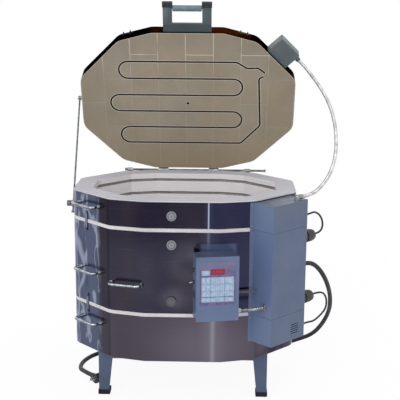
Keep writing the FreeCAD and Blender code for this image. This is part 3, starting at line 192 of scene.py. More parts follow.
def edge_group():
    """Mask of the edges and corners, broken up so that it isn't a line: rubbed wear on paint, painted
    highlight on other finishes.
    """
    group = bpy.data.node_groups.new("edge_wear_and_sheen", "ShaderNodeTree")
    face = group.interface
    face.new_socket(name="Radius", in_out="INPUT", socket_type="NodeSocketFloat").default_value = 0.001
    face.new_socket(name="Breakup", in_out="INPUT", socket_type="NodeSocketFloat").default_value = 60
    face.new_socket(name="Mask", in_out="OUTPUT", socket_type="NodeSocketFloat")
    add, link = group.nodes.new, group.links.new
    into, out = add("NodeGroupInput"), add("NodeGroupOutput")
    rolled, flat, meet, turn, noise, hold = (add("ShaderNode" + k) for k in (
        "Bevel", "NewGeometry", "VectorMath", "MapRange", "TexNoise", "Math"))
    rolled.samples = 6
    link(into.outputs["Radius"], rolled.inputs["Radius"])
    meet.operation = "DOT_PRODUCT"
    link(rolled.outputs[0], meet.inputs[0])
    link(flat.outputs["Normal"], meet.inputs[1])
    turn.inputs["From Min"].default_value, turn.inputs["From Max"].default_value = 0.995, 0.90
    link(meet.outputs["Value"], turn.inputs["Value"])
    place = add("ShaderNodeTexCoord")
    link(place.outputs["Object"], noise.inputs["Vector"])
    link(into.outputs["Breakup"], noise.inputs["Scale"])
    hold.operation = "MULTIPLY"
    link(turn.outputs["Result"], hold.inputs[0])
    link(noise.outputs["Fac"], hold.inputs[1])
    link(hold.outputs[0], out.inputs["Mask"])
    return group


GRAIN = grain_group()
EDGE_WEAR_AND_SHEEN = edge_group()


def takes_over(piece, node, body):
    """The piece stands for the node, which it hides, and moves with the body."""
    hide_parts(node)
    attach(piece, body)


class Finish:
    """A material under way: its tree, its shader, and the colour built up so far."""

    def __init__(self, name, metallic, rough, coat=0.0, specular=0.5):
        self.material = bpy.data.materials.new(name)
        self.material.use_nodes = True
        self.tree = self.material.node_tree
        self.shader = self.tree.nodes["Principled BSDF"]
        self.shader.inputs["Metallic"].default_value = metallic
        self.shader.inputs["Coat Weight"].default_value = coat
        self.shader.inputs["Specular IOR Level"].default_value = specular
        self.shader.inputs["Roughness"].default_value = sum(rough) / 2
        self.rough = rough
        self.colour = None
        self.height = None

    def grain(self, scale, low=0.35, high=0.65, detail=4, stretch=(1, 1, 1)):
        node = self.tree.nodes.new("ShaderNodeGroup")
        node.node_tree = GRAIN
        values = {"Scale": scale, "Low": low, "High": high, "Detail": detail, "Stretch": stretch}
        for key, value in values.items():
            node.inputs[key].default_value = value
        return node.outputs["Mask"]

    def edges(self, radius, breakup=60):
        node = self.tree.nodes.new("ShaderNodeGroup")
        node.node_tree = EDGE_WEAR_AND_SHEEN
        node.inputs["Radius"].default_value = radius
        node.inputs["Breakup"].default_value = breakup
        return node.outputs["Mask"]

    def place(self):
        return self.tree.nodes.new("ShaderNodeTexCoord").outputs["Object"]

    def one_axis(self, vector, axis):
        split = self.tree.nodes.new("ShaderNodeSeparateXYZ")
        self.tree.links.new(vector, split.inputs[0])
        return split.outputs[axis]

    def rise(self, value, low, high, kind="LINEAR", start=0.0):
        """A mask that rises from low to high, from a start value to 1."""
        ramp = self.tree.nodes.new("ShaderNodeMapRange")
        ramp.interpolation_type = kind
        ramp.inputs["From Min"].default_value = low
        ramp.inputs["From Max"].default_value = high
        ramp.inputs["To Min"].default_value = start
        self.tree.links.new(value, ramp.inputs["Value"])
        return ramp.outputs["Result"]

    def level(self, axis, low, high):
        """A mask that rises along one axis of the object, in metres."""
        return self.rise(self.one_axis(self.place(), axis), low, high, "SMOOTHSTEP")

    def facing(self, axis, low, high):
        """A mask of the faces that look along one axis."""
        shape = self.tree.nodes.new("ShaderNodeNewGeometry")
        return self.rise(self.one_axis(shape.outputs["Normal"], axis), low, high)

    def meeting(self, a, b, kind="DOT_PRODUCT"):
        """One vector taken with another, which may be a plain direction."""
        node = self.tree.nodes.new("ShaderNodeVectorMath")
        node.operation = kind
        self.tree.links.new(a, node.inputs[0])
        if isinstance(b, tuple):
            node.inputs[1].default_value = b
        else:
            self.tree.links.new(b, node.inputs[1])
        return node.outputs["Value" if kind == "DOT_PRODUCT" else "Vector"]

    def along(self, way, low, high):
        """A mask that rises along any direction, in metres."""
        return self.rise(self.meeting(self.place(), way), low, high)

    def near(self, spot, reach, source=None):
        """A soft mask round a place, with its own reach along each axis."""
        centred = self.tree.nodes.new("ShaderNodeMapping")
        centred.inputs["Scale"].default_value = [1 / r for r in reach]
        centred.inputs["Location"].default_value = [-s / r for s, r in zip(spot, reach)]
        far = self.tree.nodes.new("ShaderNodeVectorMath")
        far.operation = "LENGTH"
        self.tree.links.new(source or self.place(), centred.inputs["Vector"])
        self.tree.links.new(centred.outputs[0], far.inputs[0])
        return self.rise(far.outputs["Value"], 1.0, 0.1, "SMOOTHSTEP")

    def stripe(self, x, half):
        """A soft upright stripe."""
        return self.both(self.level(0, x - half, x), self.level(0, x + half, x))

    def both(self, a, b):
        return self.combine("MULTIPLY", a, b)

    def but(self, mask):
        return self.combine("SUBTRACT", 1.0, mask)

    def stronger(self, mask, times):
        return self.combine("MINIMUM", self.combine("MULTIPLY", mask, times), 1.0)

    def combine(self, kind, a, b):
        node = self.tree.nodes.new("ShaderNodeMath")
        node.operation = kind
        for socket, value in zip(node.inputs, (a, b)):
            if isinstance(value, (int, float)):
                socket.default_value = value
            else:
                self.tree.links.new(value, socket)
        return node.outputs[0]

    def start(self, colour):
        self.colour = (*colour, 1)
        return self

    def lay(self, colour, mask, strength=1.0):
        """Lays a colour over the ones before it, where the mask is."""
        mix = self.tree.nodes.new("ShaderNodeMix")
        mix.data_type = "RGBA"
        if strength != 1.0:
            mask = self.combine("MULTIPLY", mask, strength)
        self.tree.links.new(mask, mix.inputs["Factor"])
        if isinstance(self.colour, tuple):
            mix.inputs["A"].default_value = self.colour
        else:
            self.tree.links.new(self.colour, mix.inputs["A"])
        mix.inputs["B"].default_value = (*colour, 1)
        self.colour = mix.outputs["Result"]
        return self

    def emboss(self, mask, depth):
        """Adds a height in metres to the surface, through a bump."""
        scaled = self.combine("MULTIPLY", mask, depth)
        self.height = scaled if self.height is None else self.combine("ADD", self.height, scaled)
        return self

    def done(self, gloss_mask=None):
        link = self.tree.links.new
        if isinstance(self.colour, tuple):
            self.shader.inputs["Base Color"].default_value = self.colour
        else:
            link(self.colour, self.shader.inputs["Base Color"])
        if gloss_mask is not None:
            spread = self.tree.nodes.new("ShaderNodeMapRange")
            spread.inputs["To Min"].default_value, spread.inputs["To Max"].default_value = self.rough
            link(gloss_mask, spread.inputs["Value"])
            link(spread.outputs["Result"], self.shader.inputs["Roughness"])
        if self.height is not None:
            bump = self.tree.nodes.new("ShaderNodeBump")
            bump.inputs["Distance"].default_value = 1.0
            link(self.height, bump.inputs["Height"])
            link(bump.outputs[0], self.shader.inputs["Normal"])
        return self.material


def dress(material, *names):
    for name in names:
        mesh = nodes[name].data
        mesh.materials.clear()
        mesh.materials.append(material)


def sprayed(name, dark, light, rough=(0.36, 0.5)):
    """Sprayed enamel on folded steel: slightly cloudy, with orange peel, and rubbed at its folds."""
    paint = Finish(name, 0.0, rough, coat=0.15)
    paint.start(dark).lay(light, paint.grain(9, 0.3, 0.7))
    paint.lay(dark, paint.grain(120, 0.58, 0.75), 0.35)
    paint.lay(CHIPPED, paint.edges(0.0012, 90), 0.75)
    paint.emboss(paint.grain(650, 0.2, 0.8, 2), 0.00006)
    return paint


stand_paint = sprayed("stand_paint", STAND_DARK, STAND_LIGHT)
stand_paint.lay((0.16, 0.16, 0.17), stand_paint.grain(35, 0.62, 0.78), 0.3)
dress(stand_paint.done(stand_paint.grain(24)), "base_pan", "stand_frame", "legs")

foot_rubber = Finish("foot_rubber", 0.0, (0.6, 0.8), specular=0.35)
foot_rubber.start((0.006, 0.004, 0.012)).lay((0.02, 0.018, 0.03), foot_rubber.grain(40, 0.4, 0.8))
foot_rubber.emboss(foot_rubber.grain(500), 0.00008)
dress(foot_rubber.done(foot_rubber.grain(60)), "rubber_feet")


# Firebrick: the floor slab and five courses of soft white insulating brick, sawn, cemented and dusted with
# wash. Each brick is rounded at its worn edges, so that the joints and the groove lips show.

BRICK_WHITE = (0.74, 0.715, 0.715)
BRICK_GREY = (0.58, 0.555, 0.575)
BRICK_STAIN = (0.40, 0.36, 0.33)
WORN_EDGE = 0.0012


def brick_mesh(node, name):
    """A brick node's own mesh, joined up and with its edges worn."""
    mesh = nodes[node].data.copy()
    mesh.materials.clear()
    for layer in ("custom_normal", "sharp_edge", "sharp_face"):
        if layer in mesh.attributes:
            mesh.attributes.remove(mesh.attributes[layer])
    bm = bmesh.new()
    bm.from_mesh(mesh)
    bmesh.ops.remove_doubles(bm, verts=bm.verts, dist=0.00001)
    bmesh.ops.dissolve_limit(bm, angle_limit=math.radians(2), verts=bm.verts, edges=bm.edges)
    for face in bm.faces:
        face.smooth = True
    bm.to_mesh(mesh)
    bm.free()
    mesh.set_sharp_from_angle(angle=math.radians(8))
    brick = placed(name, mesh)
    wear = brick.modifiers.new("wear", "BEVEL")
    wear.width, wear.segments, wear.limit_method = WORN_EDGE, 2, "ANGLE"
    wear.angle_limit = math.radians(40)
    wear.harden_normals = True
    return brick


def firebrick(name, pale, grey):
    clay = Finish(name, 0.0, (0.85, 0.97), specular=0.2)
    clay.start(grey).lay(pale, clay.grain(5, 0.35, 0.65))
    island = clay.tree.nodes.new("ShaderNodeNewGeometry").outputs["Random Per Island"]
    clay.lay(grey, island, 0.35)
    clay.lay(BRICK_STAIN, clay.grain(28, 0.56, 0.74, 6), 0.30)
    clay.lay((0.30, 0.27, 0.25), clay.grain(420, 0.60, 0.72, 2), 0.35)
    clay.emboss(clay.grain(420, 0.55, 0.75, 2), -0.0005)
    clay.emboss(clay.grain(90), 0.0003)
    return clay


clay = firebrick("firebrick", BRICK_WHITE, BRICK_GREY)
# Painted highlight: the worn edges and groove lips are laid paler.
clay.lay((0.70, 0.69, 0.71), clay.edges(0.0035, 120), 0.6)
# Painted shade: faces that look up, such as the rim and the floor slab, are laid a cooler, darker grey.
clay.lay((0.52, 0.52, 0.58), clay.facing(2, 0.7, 0.95), 0.6)
# Painted light: the chamber's inner wall, whose faces turn towards the middle, is laid near white.
outward = clay.meeting(clay.place(), (1, 1, 0), "MULTIPLY")
turned = clay.meeting(outward, clay.tree.nodes.new("ShaderNodeNewGeometry").outputs["Normal"])
clay.lay((0.90, 0.86, 0.87), clay.rise(turned, -0.05, -0.15), 0.85)
fired_clay = clay.done(clay.grain(60))
for node, name in (("floor_slab", "slab_floor"), ("bottom_ring_bricks", "bottom_bricks"),
                   ("middle_ring_bricks", "middle_bricks"), ("top_ring_bricks", "top_bricks")):
    bricks = brick_mesh(node, name)
    bricks.data.materials.append(fired_clay)
    takes_over(bricks, node, "kiln")


# Jackets: one wrap of bright-rolled stainless sheet to each ring, tinted brown and purple by heat.
# Much of their colour is painted reflection: dark for a mirrored dark room, lighter towards the floor, bluish
# on the ends.

# Painted reflection tones of the sheet: dark for a mirrored dark room by ring, and bluish for the left end
# panel.
STEEL_TOP = (0.021, 0.017, 0.034)
STEEL_MIDDLE = (0.042, 0.038, 0.062)
STEEL_LOW = (0.084, 0.071, 0.094)
END_PANEL_REFLECTION = (0.086, 0.108, 0.180)
LOW_JOINT = (0.368, 0.392)
TOP_JOINT = (0.716, 0.731)
HIGHLIGHT_STREAK_X = 0.101
LOW_HIGHLIGHT_STREAK_X = 0.120


def wrapped_steel(name, top, middle, low):
    steel = Finish(name, 1.0, (0.14, 0.24))
    # Painted reflection: lighter on the low ring, towards the floor, and darker up to the top ring.
    steel.start(low).lay(middle, steel.level(2, 0.368, 0.392)).lay(top, steel.level(2, 0.60, 0.75))
    steel.lay((0.055, 0.048, 0.062), steel.grain(3.2, 0.42, 0.68, 3, (1, 1, 0.35)), 0.4)
    steel.lay((0.070, 0.052, 0.045), steel.grain(6.5, 0.55, 0.75, 5, (1, 1, 0.5)), 0.3)
    steel.lay((0.14, 0.15, 0.19), steel.grain(34, 0.60, 0.85, 4, (0.35, 0.35, 9)), 0.25)
    steel.emboss(steel.grain(30, 0.2, 0.8, 3, (0.1, 0.1, 30)), 0.00002)
    steel.emboss(steel.grain(2.3, 0.2, 0.8, 2), 0.0006)
    return steel


sheet = wrapped_steel("jacket_steel", STEEL_TOP, STEEL_MIDDLE, STEEL_LOW)
lowest = sheet.level(2, *reversed(LOW_JOINT))
uppermost = sheet.level(2, *TOP_JOINT)
between = sheet.but(sheet.combine("ADD", lowest, uppermost))
# Painted reflection of the floor: a lighter patch on the front of the lowest ring.
painted_floor_reflection = sheet.near((0.10, 0, 0.24), (0.30, 100, 0.22))
sheet.lay((0.185, 0.165, 0.205), sheet.both(lowest, painted_floor_reflection), 0.55)
# Painted reflection: the facet right of the highlight streak is laid bluer, above the lowest ring.
right_facet_painted_reflection = sheet.level(0, HIGHLIGHT_STREAK_X - 0.004, HIGHLIGHT_STREAK_X + 0.004)
sheet.lay((0.025, 0.030, 0.085), sheet.both(right_facet_painted_reflection, sheet.but(lowest)), 0.5)
# Painted reflection: soft, cloudy lighter patches on the front of the middle ring.
for spot, reach, share in (((0.03, 0, 0.60), (0.13, 100, 0.11), 0.55),
                           ((-0.02, 0, 0.45), (0.10, 100, 0.07), 0.5),
                           ((-0.16, 0, 0.52), (0.09, 100, 0.16), 0.2)):
    painted_reflection_haze = sheet.both(sheet.near(spot, reach), sheet.grain(9, 0.25, 0.6, 4))
    sheet.lay((0.135, 0.125, 0.165), painted_reflection_haze, share)
# Painted highlight: a bright upright streak down each ring with a wider, duller band round it, further right
# on the lowest ring.
for mask, half, colour, share in (
        (uppermost, 0.0045, (0.75, 0.78, 0.95), 1.0), (uppermost, 0.025, (0.05, 0.06, 0.15), 0.4),
        (between, 0.009, (0.19, 0.21, 0.30), 0.75), (between, 0.05, (0.075, 0.075, 0.12), 0.4),
        (lowest, 0.016, (0.36, 0.37, 0.43), 0.7), (lowest, 0.07, (0.20, 0.185, 0.225), 0.5)):
    highlight_streak = sheet.stripe(LOW_HIGHLIGHT_STREAK_X if mask is lowest else HIGHLIGHT_STREAK_X, half)
    sheet.lay(colour, sheet.both(mask, highlight_streak), share)
FLATTER = (1, 1, 0.38)
# Painted reflection on the end panels: the right end takes the low ring's tone, the left end a bluish one,
# and both are clouded with dark.
for end_panel, tint, share in ((sheet.level(0, 0.280, 0.296), STEEL_LOW, 0.5),
                               (sheet.level(0, -0.318, -0.350), END_PANEL_REFLECTION, 0.85)):
    painted_reflection_clouds = sheet.grain(8, 0.50, 0.62, 3, (1, 1, 0.4))
    sheet.lay(tint, end_panel, share)
    sheet.lay((0.016, 0.018, 0.045), sheet.both(end_panel, painted_reflection_clouds), 0.75)
# Painted reflection: pale winding bands over the left end panel.
for scale, centre in ((6.5, 0.50), (12, 0.46)):
    rise = sheet.grain(scale, centre - 0.02, centre, 2, FLATTER)
    fall = sheet.but(sheet.grain(scale, centre + 0.01, centre + 0.035, 2, FLATTER))
    sheet.lay((0.40, 0.43, 0.55), sheet.both(end_panel, sheet.both(rise, fall)), 0.6)
corner_shade = sheet.both(sheet.level(0, -0.283, -0.289), sheet.level(0, -0.350, -0.318))
sheet.lay((0.006, 0.004, 0.010), corner_shade, 0.4)
# Painted highlight along the sheet's rolled edges and corners.
sheet.lay((0.26, 0.28, 0.33), sheet.edges(0.003, 14), 0.25)

# A painted reflection of the controller in the middle jacket, above its box: a faint blue glow.
across = sheet.both(sheet.level(0, 0.062, 0.080), sheet.level(0, 0.218, 0.200))
upwards = sheet.both(sheet.level(2, 0.630, 0.636), sheet.level(2, 0.676, 0.668))
painted_controller_reflection = sheet.both(across, upwards)
sheet.tree.links.new(painted_controller_reflection, sheet.shader.inputs["Emission Strength"])
sheet.shader.inputs["Emission Color"].default_value = (0.036, 0.050, 0.095, 1)
dress(sheet.done(sheet.grain(18, 0.3, 0.7, 4, (0.3, 0.3, 3))), "bottom_jacket", "middle_jacket", "top_jacket")


# Peephole plugs: pressed grey ceramic stoppers with a ringed, rounded head, fired with the kiln.
# The lowest is the dullest.

PLUG_X, LOW_PLUG_Z = -0.041, 0.43815
COURSE = 0.1143
plug_clay = Finish("plug_clay", 0.0, (0.5, 0.75), specular=0.3)
plug_clay.start((0.22, 0.225, 0.275)).lay((0.28, 0.285, 0.33), plug_clay.grain(90, 0.4, 0.7))
from_low_plug = plug_clay.combine("SUBTRACT", plug_clay.one_axis(plug_clay.place(), 2), LOW_PLUG_Z)
in_course = plug_clay.combine("WRAP", from_low_plug, COURSE / 2)
in_course.node.inputs[2].default_value = -COURSE / 2
head_place = plug_clay.tree.nodes.new("ShaderNodeCombineXYZ")
plug_clay.tree.links.new(plug_clay.one_axis(plug_clay.place(), 0), head_place.inputs[0])
plug_clay.tree.links.new(in_course, head_place.inputs[1])
for reach, colour, share in ((0.0175, (0.10, 0.098, 0.115), 0.85), (0.0125, (0.30, 0.30, 0.34), 0.9),
                             (0.0065, (0.13, 0.125, 0.14), 0.6)):
    disc = plug_clay.near((PLUG_X, 0, 0), (reach, reach, 1), head_place.outputs[0])
    plug_clay.lay(colour, plug_clay.stronger(disc, 6.0), share)
plug_clay.lay((0.08, 0.07, 0.075), plug_clay.grain(160, 0.58, 0.7), 0.5)
plug_clay.lay((0.065, 0.06, 0.075), plug_clay.level(2, 0.50, 0.46), 0.7)
plug_clay.emboss(plug_clay.grain(700), 0.00015)
dress(plug_clay.done(plug_clay.grain(80)), "top_peephole_plug", "middle_peephole_plug", "lower_peephole_plug")


# Heating coils: resistance wire wound close, laid round the chamber in the dropped grooves and darkened by
# firing. Each run ends at two rods in porcelain tubes through the right front wall.

COIL_WIRE = 0.0011
COIL_PITCH = 0.0062
RING_COIL = 0.0054
COIL_INSET = 0.0702
COIL_TURN = 8
BODY_BASE, FLOOR_SLAB = 0.1905, 0.0762
COIL_DROP = 0.0022
LEAD_APART = 0.0185
OVAL_QUARTER = ((0.150, 0.320), (0.286, 0.283), (0.450, 0.114))


def oval(inset):
    """Corners of the kiln's plan from the front left, moved inwards."""
    ring = [(x, -y) for x, y in OVAL_QUARTER] + [(x, y) for x, y in reversed(OVAL_QUARTER)]
    ring = [Vector((x, y, 0)) for x, y in ring]
    ring += [Vector((-p.x, -p.y, 0)) for p in ring]
    ring = [ring[-1]] + ring[:-1]
    made = []
    for i, corner in enumerate(ring):
        before = (corner - ring[i - 1]).normalized()
        after = (ring[(i + 1) % 12] - corner).normalized()
        n1, n2 = Vector((-before.y, before.x, 0)), Vector((-after.y, after.x, 0))
        made.append(corner + (n1 + n2) * (inset / (1 + n1.dot(n2))))
    return made


def even_steps(line, step):
    """The same line, with a point at each step along it."""
    made, ahead_by = [line[0]], step
    for a, b in zip(line, line[1:]):
        length = (b - a).length
        while length >= ahead_by:
            made.append(a.lerp(b, ahead_by / length))
            ahead_by += step
        ahead_by -= length
    return made


def eased(line, step, smoothing):
    """The line in even steps, with its corners eased."""
    fine = even_steps(line, step)
    rounded = []
    for k in range(len(fine)):
        near = fine[max(0, k - smoothing):k + smoothing + 1]
        rounded.append(sum(near, Vector()) / len(near))
    return rounded


def coil_turns(line, radius, normal, smoothing=6):
    """Points of a close-wound helix about a line that lies in one plane."""
    rounded = eased(line, COIL_PITCH / COIL_TURN, smoothing)
    turns = []
    for k in range(1, len(rounded) - 1):
        along = (rounded[k + 1] - rounded[k - 1]).normalized()
        side = along.cross(normal)
        angle = 2 * math.pi * k / COIL_TURN
        turns.append(rounded[k] + (side * math.cos(angle) + normal * math.sin(angle)) * radius)
    return turns


def wound_wire(name, runs, wire, roundness=0):
    """Wire along each of the given runs of points."""
    curve = bpy.data.curves.new(name, "CURVE")
    curve.dimensions = "3D"
    curve.bevel_depth = wire
    curve.bevel_resolution = roundness
    curve.use_fill_caps = True
    for turns in runs:
        spline = curve.splines.new("POLY")
        spline.points.add(len(turns) - 1)
        for knot, spot in zip(spline.points, turns):
            knot.co = (*spot, 1)
    holder = bpy.data.objects.new(name, curve)
    mesh = bpy.data.meshes.new_from_object(holder)
    mesh.name = name
    bpy.data.objects.remove(holder)
    return placed(name, mesh)


def fired_wire(name, dark, light):
    wire = Finish(name, 0.2, (0.5, 0.75))
    wire.start(dark).lay(light, wire.grain(60))
    wire.lay((0.16, 0.08, 0.05), wire.grain(140, 0.6, 0.75), 0.25)
    return wire.done(wire.grain(90))


ring_wire = fired_wire("ring_wire", (0.42, 0.38, 0.37), (0.55, 0.50, 0.49))

corners = oval(COIL_INSET)
facet = (corners[3] - corners[2]).normalized()
facet_middle = (oval(0)[2] + oval(0)[3]) / 2 + Vector((-facet.y, facet.x, 0)) * COIL_INSET
for node, name, courses in (("bottom_elements", "bottom_coils", (0,)),
                            ("middle_elements", "middle_coils", (1, 2, 3)),
                            ("top_elements", "top_coils", (4,))):
    runs = []
    for course in courses:
        for groove in (0.25, 0.75):
            z = BODY_BASE + FLOOR_SLAB + COURSE * (course + groove) - COIL_DROP
            ends = [facet_middle + facet * side * LEAD_APART for side in (1, -1)]
            line = [ends[0]] + [corners[(3 + k) % 12] for k in range(12)] + [ends[1]]
            runs.append(coil_turns([Vector((p.x, p.y, z)) for p in line], RING_COIL, Vector((0, 0, 1))))
    coils = wound_wire(name, runs, COIL_WIRE)
    coils.data.materials.append(ring_wire)
    takes_over(coils, node, "kiln")

porcelain = Finish("porcelain", 0.0, (0.15, 0.3), specular=0.5)
porcelain.start((0.72, 0.70, 0.66)).lay((0.60, 0.57, 0.52), porcelain.grain(40))
dress(porcelain.done(porcelain.grain(30)), "element_bushings")

ZINC_DARK = (0.23, 0.235, 0.24)
ZINC_LIGHT = (0.42, 0.43, 0.44)


def plated(name, dark, light, rough):
    """Plated or bright-drawn steel, with fine drawing marks and dull spots."""
    metal = Finish(name, 1.0, rough)
    metal.start(dark).lay(light, metal.grain(45, 0.35, 0.65))
    metal.lay((0.16, 0.15, 0.14), metal.grain(190, 0.60, 0.74), 0.45)
    metal.emboss(metal.grain(900, 0.3, 0.7, 2), 0.00003)
    return metal


zinc = plated("zinc_plate", ZINC_DARK, ZINC_LIGHT, (0.3, 0.5))
zinc_plate = zinc.done(zinc.grain(50))
dress(zinc_plate, "element_terminals", "thermocouple")


# Lid: a slab of cemented firebrick, stained by firing, in a stainless band drawn tight by two screw clamps.
# It is cut shut and turned open, with a vent hole, and the coil lies in the snaking groove in its face.

HINGE_Y, HINGE_Z, LID_OPEN = 0.336, 0.8362, math.radians(68.4)
LID_BASE = 0.8387
LID_THICK = 0.0635
LID_BROWN = (0.300, 0.262, 0.200)
LID_GREY = (0.350, 0.316, 0.256)
LID_TAN = (0.335, 0.258, 0.175)
MORTAR = (0.62, 0.56, 0.48)


def opened(point):
    """A point of the shut lid, turned open about the hinge rod."""
    x, y, z = point
    dy, dz = y - HINGE_Y, z - HINGE_Z
    c, s = math.cos(LID_OPEN), math.sin(LID_OPEN)
    return Vector((x, HINGE_Y + dy * c + dz * s, HINGE_Z - dy * s + dz * c))


ROW_APART = 0.078
LID_ROWS = [ROW_APART * (k - 2.5) for k in range(6)]
LID_LEFT, LID_RIGHT = (-0.290, -0.331, -0.293), (0.232, 0.232)
HALF_PITCH = ROW_APART / 2
groove_line = [(0.327, -0.145), (0.294, -0.170), (0.250, -0.167), (0.206, LID_ROWS[0])]
for k in range(5):
    on_left = k % 2 == 0
    x_end = LID_LEFT[k // 2] + HALF_PITCH if on_left else LID_RIGHT[k // 2] - HALF_PITCH
    for step in range(13):
        angle = math.pi * step / 12
        swing = math.sin(angle) * HALF_PITCH * (-1 if on_left else 1)
        groove_line.append((x_end + swing, LID_ROWS[k] + HALF_PITCH * (1 - math.cos(angle))))
groove_line += [(0.229, LID_ROWS[5]), (0.311, 0.106), (0.300, -0.120), (0.322, -0.133)]

LID_CORE, LID_CORNER = 0.060, 0.064
bm = bmesh.new()
core = oval(LID_CORE)
for k, corner in enumerate(core):
    sides = (corner - core[k - 1], core[(k + 1) % 12] - corner)
    first, last = (Vector((side.y, -side.x, 0)).normalized() for side in sides)
    for step in range(6):
        outwards = first.lerp(last, step / 5).normalized() * LID_CORNER
        bmesh.ops.create_vert(bm, co=corner + outwards + Vector((0, 0, LID_BASE)))
bm.verts.ensure_lookup_table()
face = bmesh.ops.contextual_create(bm, geom=bm.verts[:])["faces"]
raised = bmesh.ops.extrude_face_region(bm, geom=face)["geom"]
top_corners = [part for part in raised if isinstance(part, bmesh.types.BMVert)]
bmesh.ops.translate(bm, verts=top_corners, vec=(0, 0, LID_THICK))
bmesh.ops.recalc_face_normals(bm, faces=bm.faces)
blank = finished("lid_blank", bm)

GROOVE_RADIUS, GROOVE_SINK = 0.005, 0.003
VENT_RADIUS = 0.006
groove_path = eased([Vector((x, y, LID_BASE + GROOVE_SINK)) for x, y in groove_line], 0.003, 2)
router = wound_wire("lid_router", [groove_path], GROOVE_RADIUS, 2)
bm = bmesh.new()
bmesh.ops.create_cone(bm, cap_ends=True, segments=24, radius1=VENT_RADIUS, radius2=VENT_RADIUS, depth=0.2,
                      matrix=Matrix.Translation((0, 0, LID_BASE)))
drill = finished("lid_drill", bm)
for cutter in (router, drill):
    cut = blank.modifiers.new("cut", "BOOLEAN")
    cut.operation, cut.solver, cut.object = "DIFFERENCE", "EXACT", cutter
    cut.use_self = True
routed = bpy.data.meshes.new_from_object(blank.evaluated_get(bpy.context.evaluated_depsgraph_get()))
for spent in (blank, router, drill):
    bpy.data.objects.remove(spent)
hinge = Matrix.Translation((0, HINGE_Y, HINGE_Z))
routed.transform(hinge @ Matrix.Rotation(-LID_OPEN, 4, "X") @ hinge.inverted())
routed.set_sharp_from_angle(angle=math.radians(20))
lid_face = placed("lid_bricks", routed)

BRICK_LENGTH, BRICK_ROW = 0.2286, 0.1157
BOND_SHIFT = (1.1415, 1.2810)
lid_clay = firebrick("lid_firebrick", LID_GREY, LID_BROWN)
shut = lid_clay.tree.nodes.new("ShaderNodeMapping")
shut.inputs["Rotation"].default_value = (LID_OPEN, 0, 0)
away = Vector((0, HINGE_Y, HINGE_Z))
shut.inputs["Location"].default_value = away - Matrix.Rotation(LID_OPEN, 3, "X") @ away
lid_clay.tree.links.new(lid_clay.place(), shut.inputs["Vector"])
shut_x, shut_y, shut_z = (lid_clay.one_axis(shut.outputs[0], axis) for axis in range(3))
course_way = lid_clay.tree.nodes.new("ShaderNodeCombineXYZ")
for socket, value, shift in zip(course_way.inputs, (shut_y, shut_x), BOND_SHIFT):
    lid_clay.tree.links.new(lid_clay.combine("ADD", value, shift), socket)
bond = lid_clay.tree.nodes.new("ShaderNodeTexBrick")
bond.offset, bond.squash = 0.5, 1.0
for key, value in (("Scale", 1.0), ("Mortar Size", 0.0016), ("Mortar Smooth", 0.2),
                   ("Brick Width", BRICK_LENGTH), ("Row Height", BRICK_ROW)):
    bond.inputs[key].default_value = value
bond.inputs["Color1"].default_value = (0, 0, 0, 1)
bond.inputs["Color2"].default_value = (1, 1, 1, 1)
lid_clay.tree.links.new(course_way.outputs[0], bond.inputs["Vector"])
lid_clay.lay(LID_TAN, bond.outputs["Color"], 0.25)
lid_clay.lay(LID_TAN, lid_clay.grain(7, 0.45, 0.65, 5), 0.6)
lid_clay.lay((0.26, 0.235, 0.175), lid_clay.grain(11, 0.50, 0.68, 5), 0.5)
lid_clay.lay((0.40, 0.375, 0.32), lid_clay.grain(3.4, 0.45, 0.7, 4), 0.4)
centre = lid_clay.near((0.02, 0, 0), (0.62, 0.47, 100), shut.outputs[0])
lid_clay.lay((0.245, 0.205, 0.155), lid_clay.but(lid_clay.stronger(centre, 1.6)), 0.75)
lid_clay.lay((0.385, 0.300, 0.190), lid_clay.rise(shut_y, 0.05, 0.30), 0.6)
top_row = lid_clay.rise(shut_y, -0.14, -0.23, start=0.22)
joints = lid_clay.both(lid_clay.both(bond.outputs["Fac"], top_row), lid_clay.grain(9, 0.30, 0.5))
lid_clay.lay(MORTAR, joints, 0.9)
# Painted highlight: pale edges on the groove lips, the vent hole and the slab's rim.
lid_clay.lay((0.62, 0.57, 0.49), lid_clay.edges(0.0045, 12), 2.6)
# Darker in the groove: every face sunk behind the lid's face is laid near black.
sunk_faces = lid_clay.rise(shut_z, LID_BASE + 0.0004, LID_BASE + 0.0016)
lid_clay.lay((0.020, 0.017, 0.015), sunk_faces, 0.95)
lid_clay.emboss(bond.outputs["Fac"], -0.0004)
lid_face.data.materials.append(lid_clay.done(lid_clay.grain(60)))
takes_over(lid_face, "lid_slab", "lid")

BAND_GREY = (0.020, 0.020, 0.023)
band_steel = wrapped_steel("lid_band_steel", BAND_GREY, BAND_GREY, BAND_GREY)
browned = band_steel.both(band_steel.level(0, -0.02, 0.05), band_steel.level(0, 0.30, 0.24))
band_steel.lay((0.135, 0.085, 0.042), browned, 0.9)
band_steel.lay((0.12, 0.075, 0.045), band_steel.near((-0.13, 0, 1.47), (0.05, 100, 0.2)), 0.8)
# Painted reflection: the band is near black at its left end and greyer at its right end.
band_steel.lay((0.003, 0.002, 0.003), band_steel.level(0, -0.27, -0.31), 0.97)
band_steel.lay((0.10, 0.10, 0.115), band_steel.level(0, 0.34, 0.40), 0.7)
# Painted highlight along the band's edges.
band_steel.lay((0.30, 0.27, 0.24), band_steel.edges(0.0025, 30), 0.4)
band_steel.shader.inputs["Specular Tint"].default_value = (0.06, 0.06, 0.07, 1)
dress(band_steel.done(band_steel.grain(20)), "lid_band")

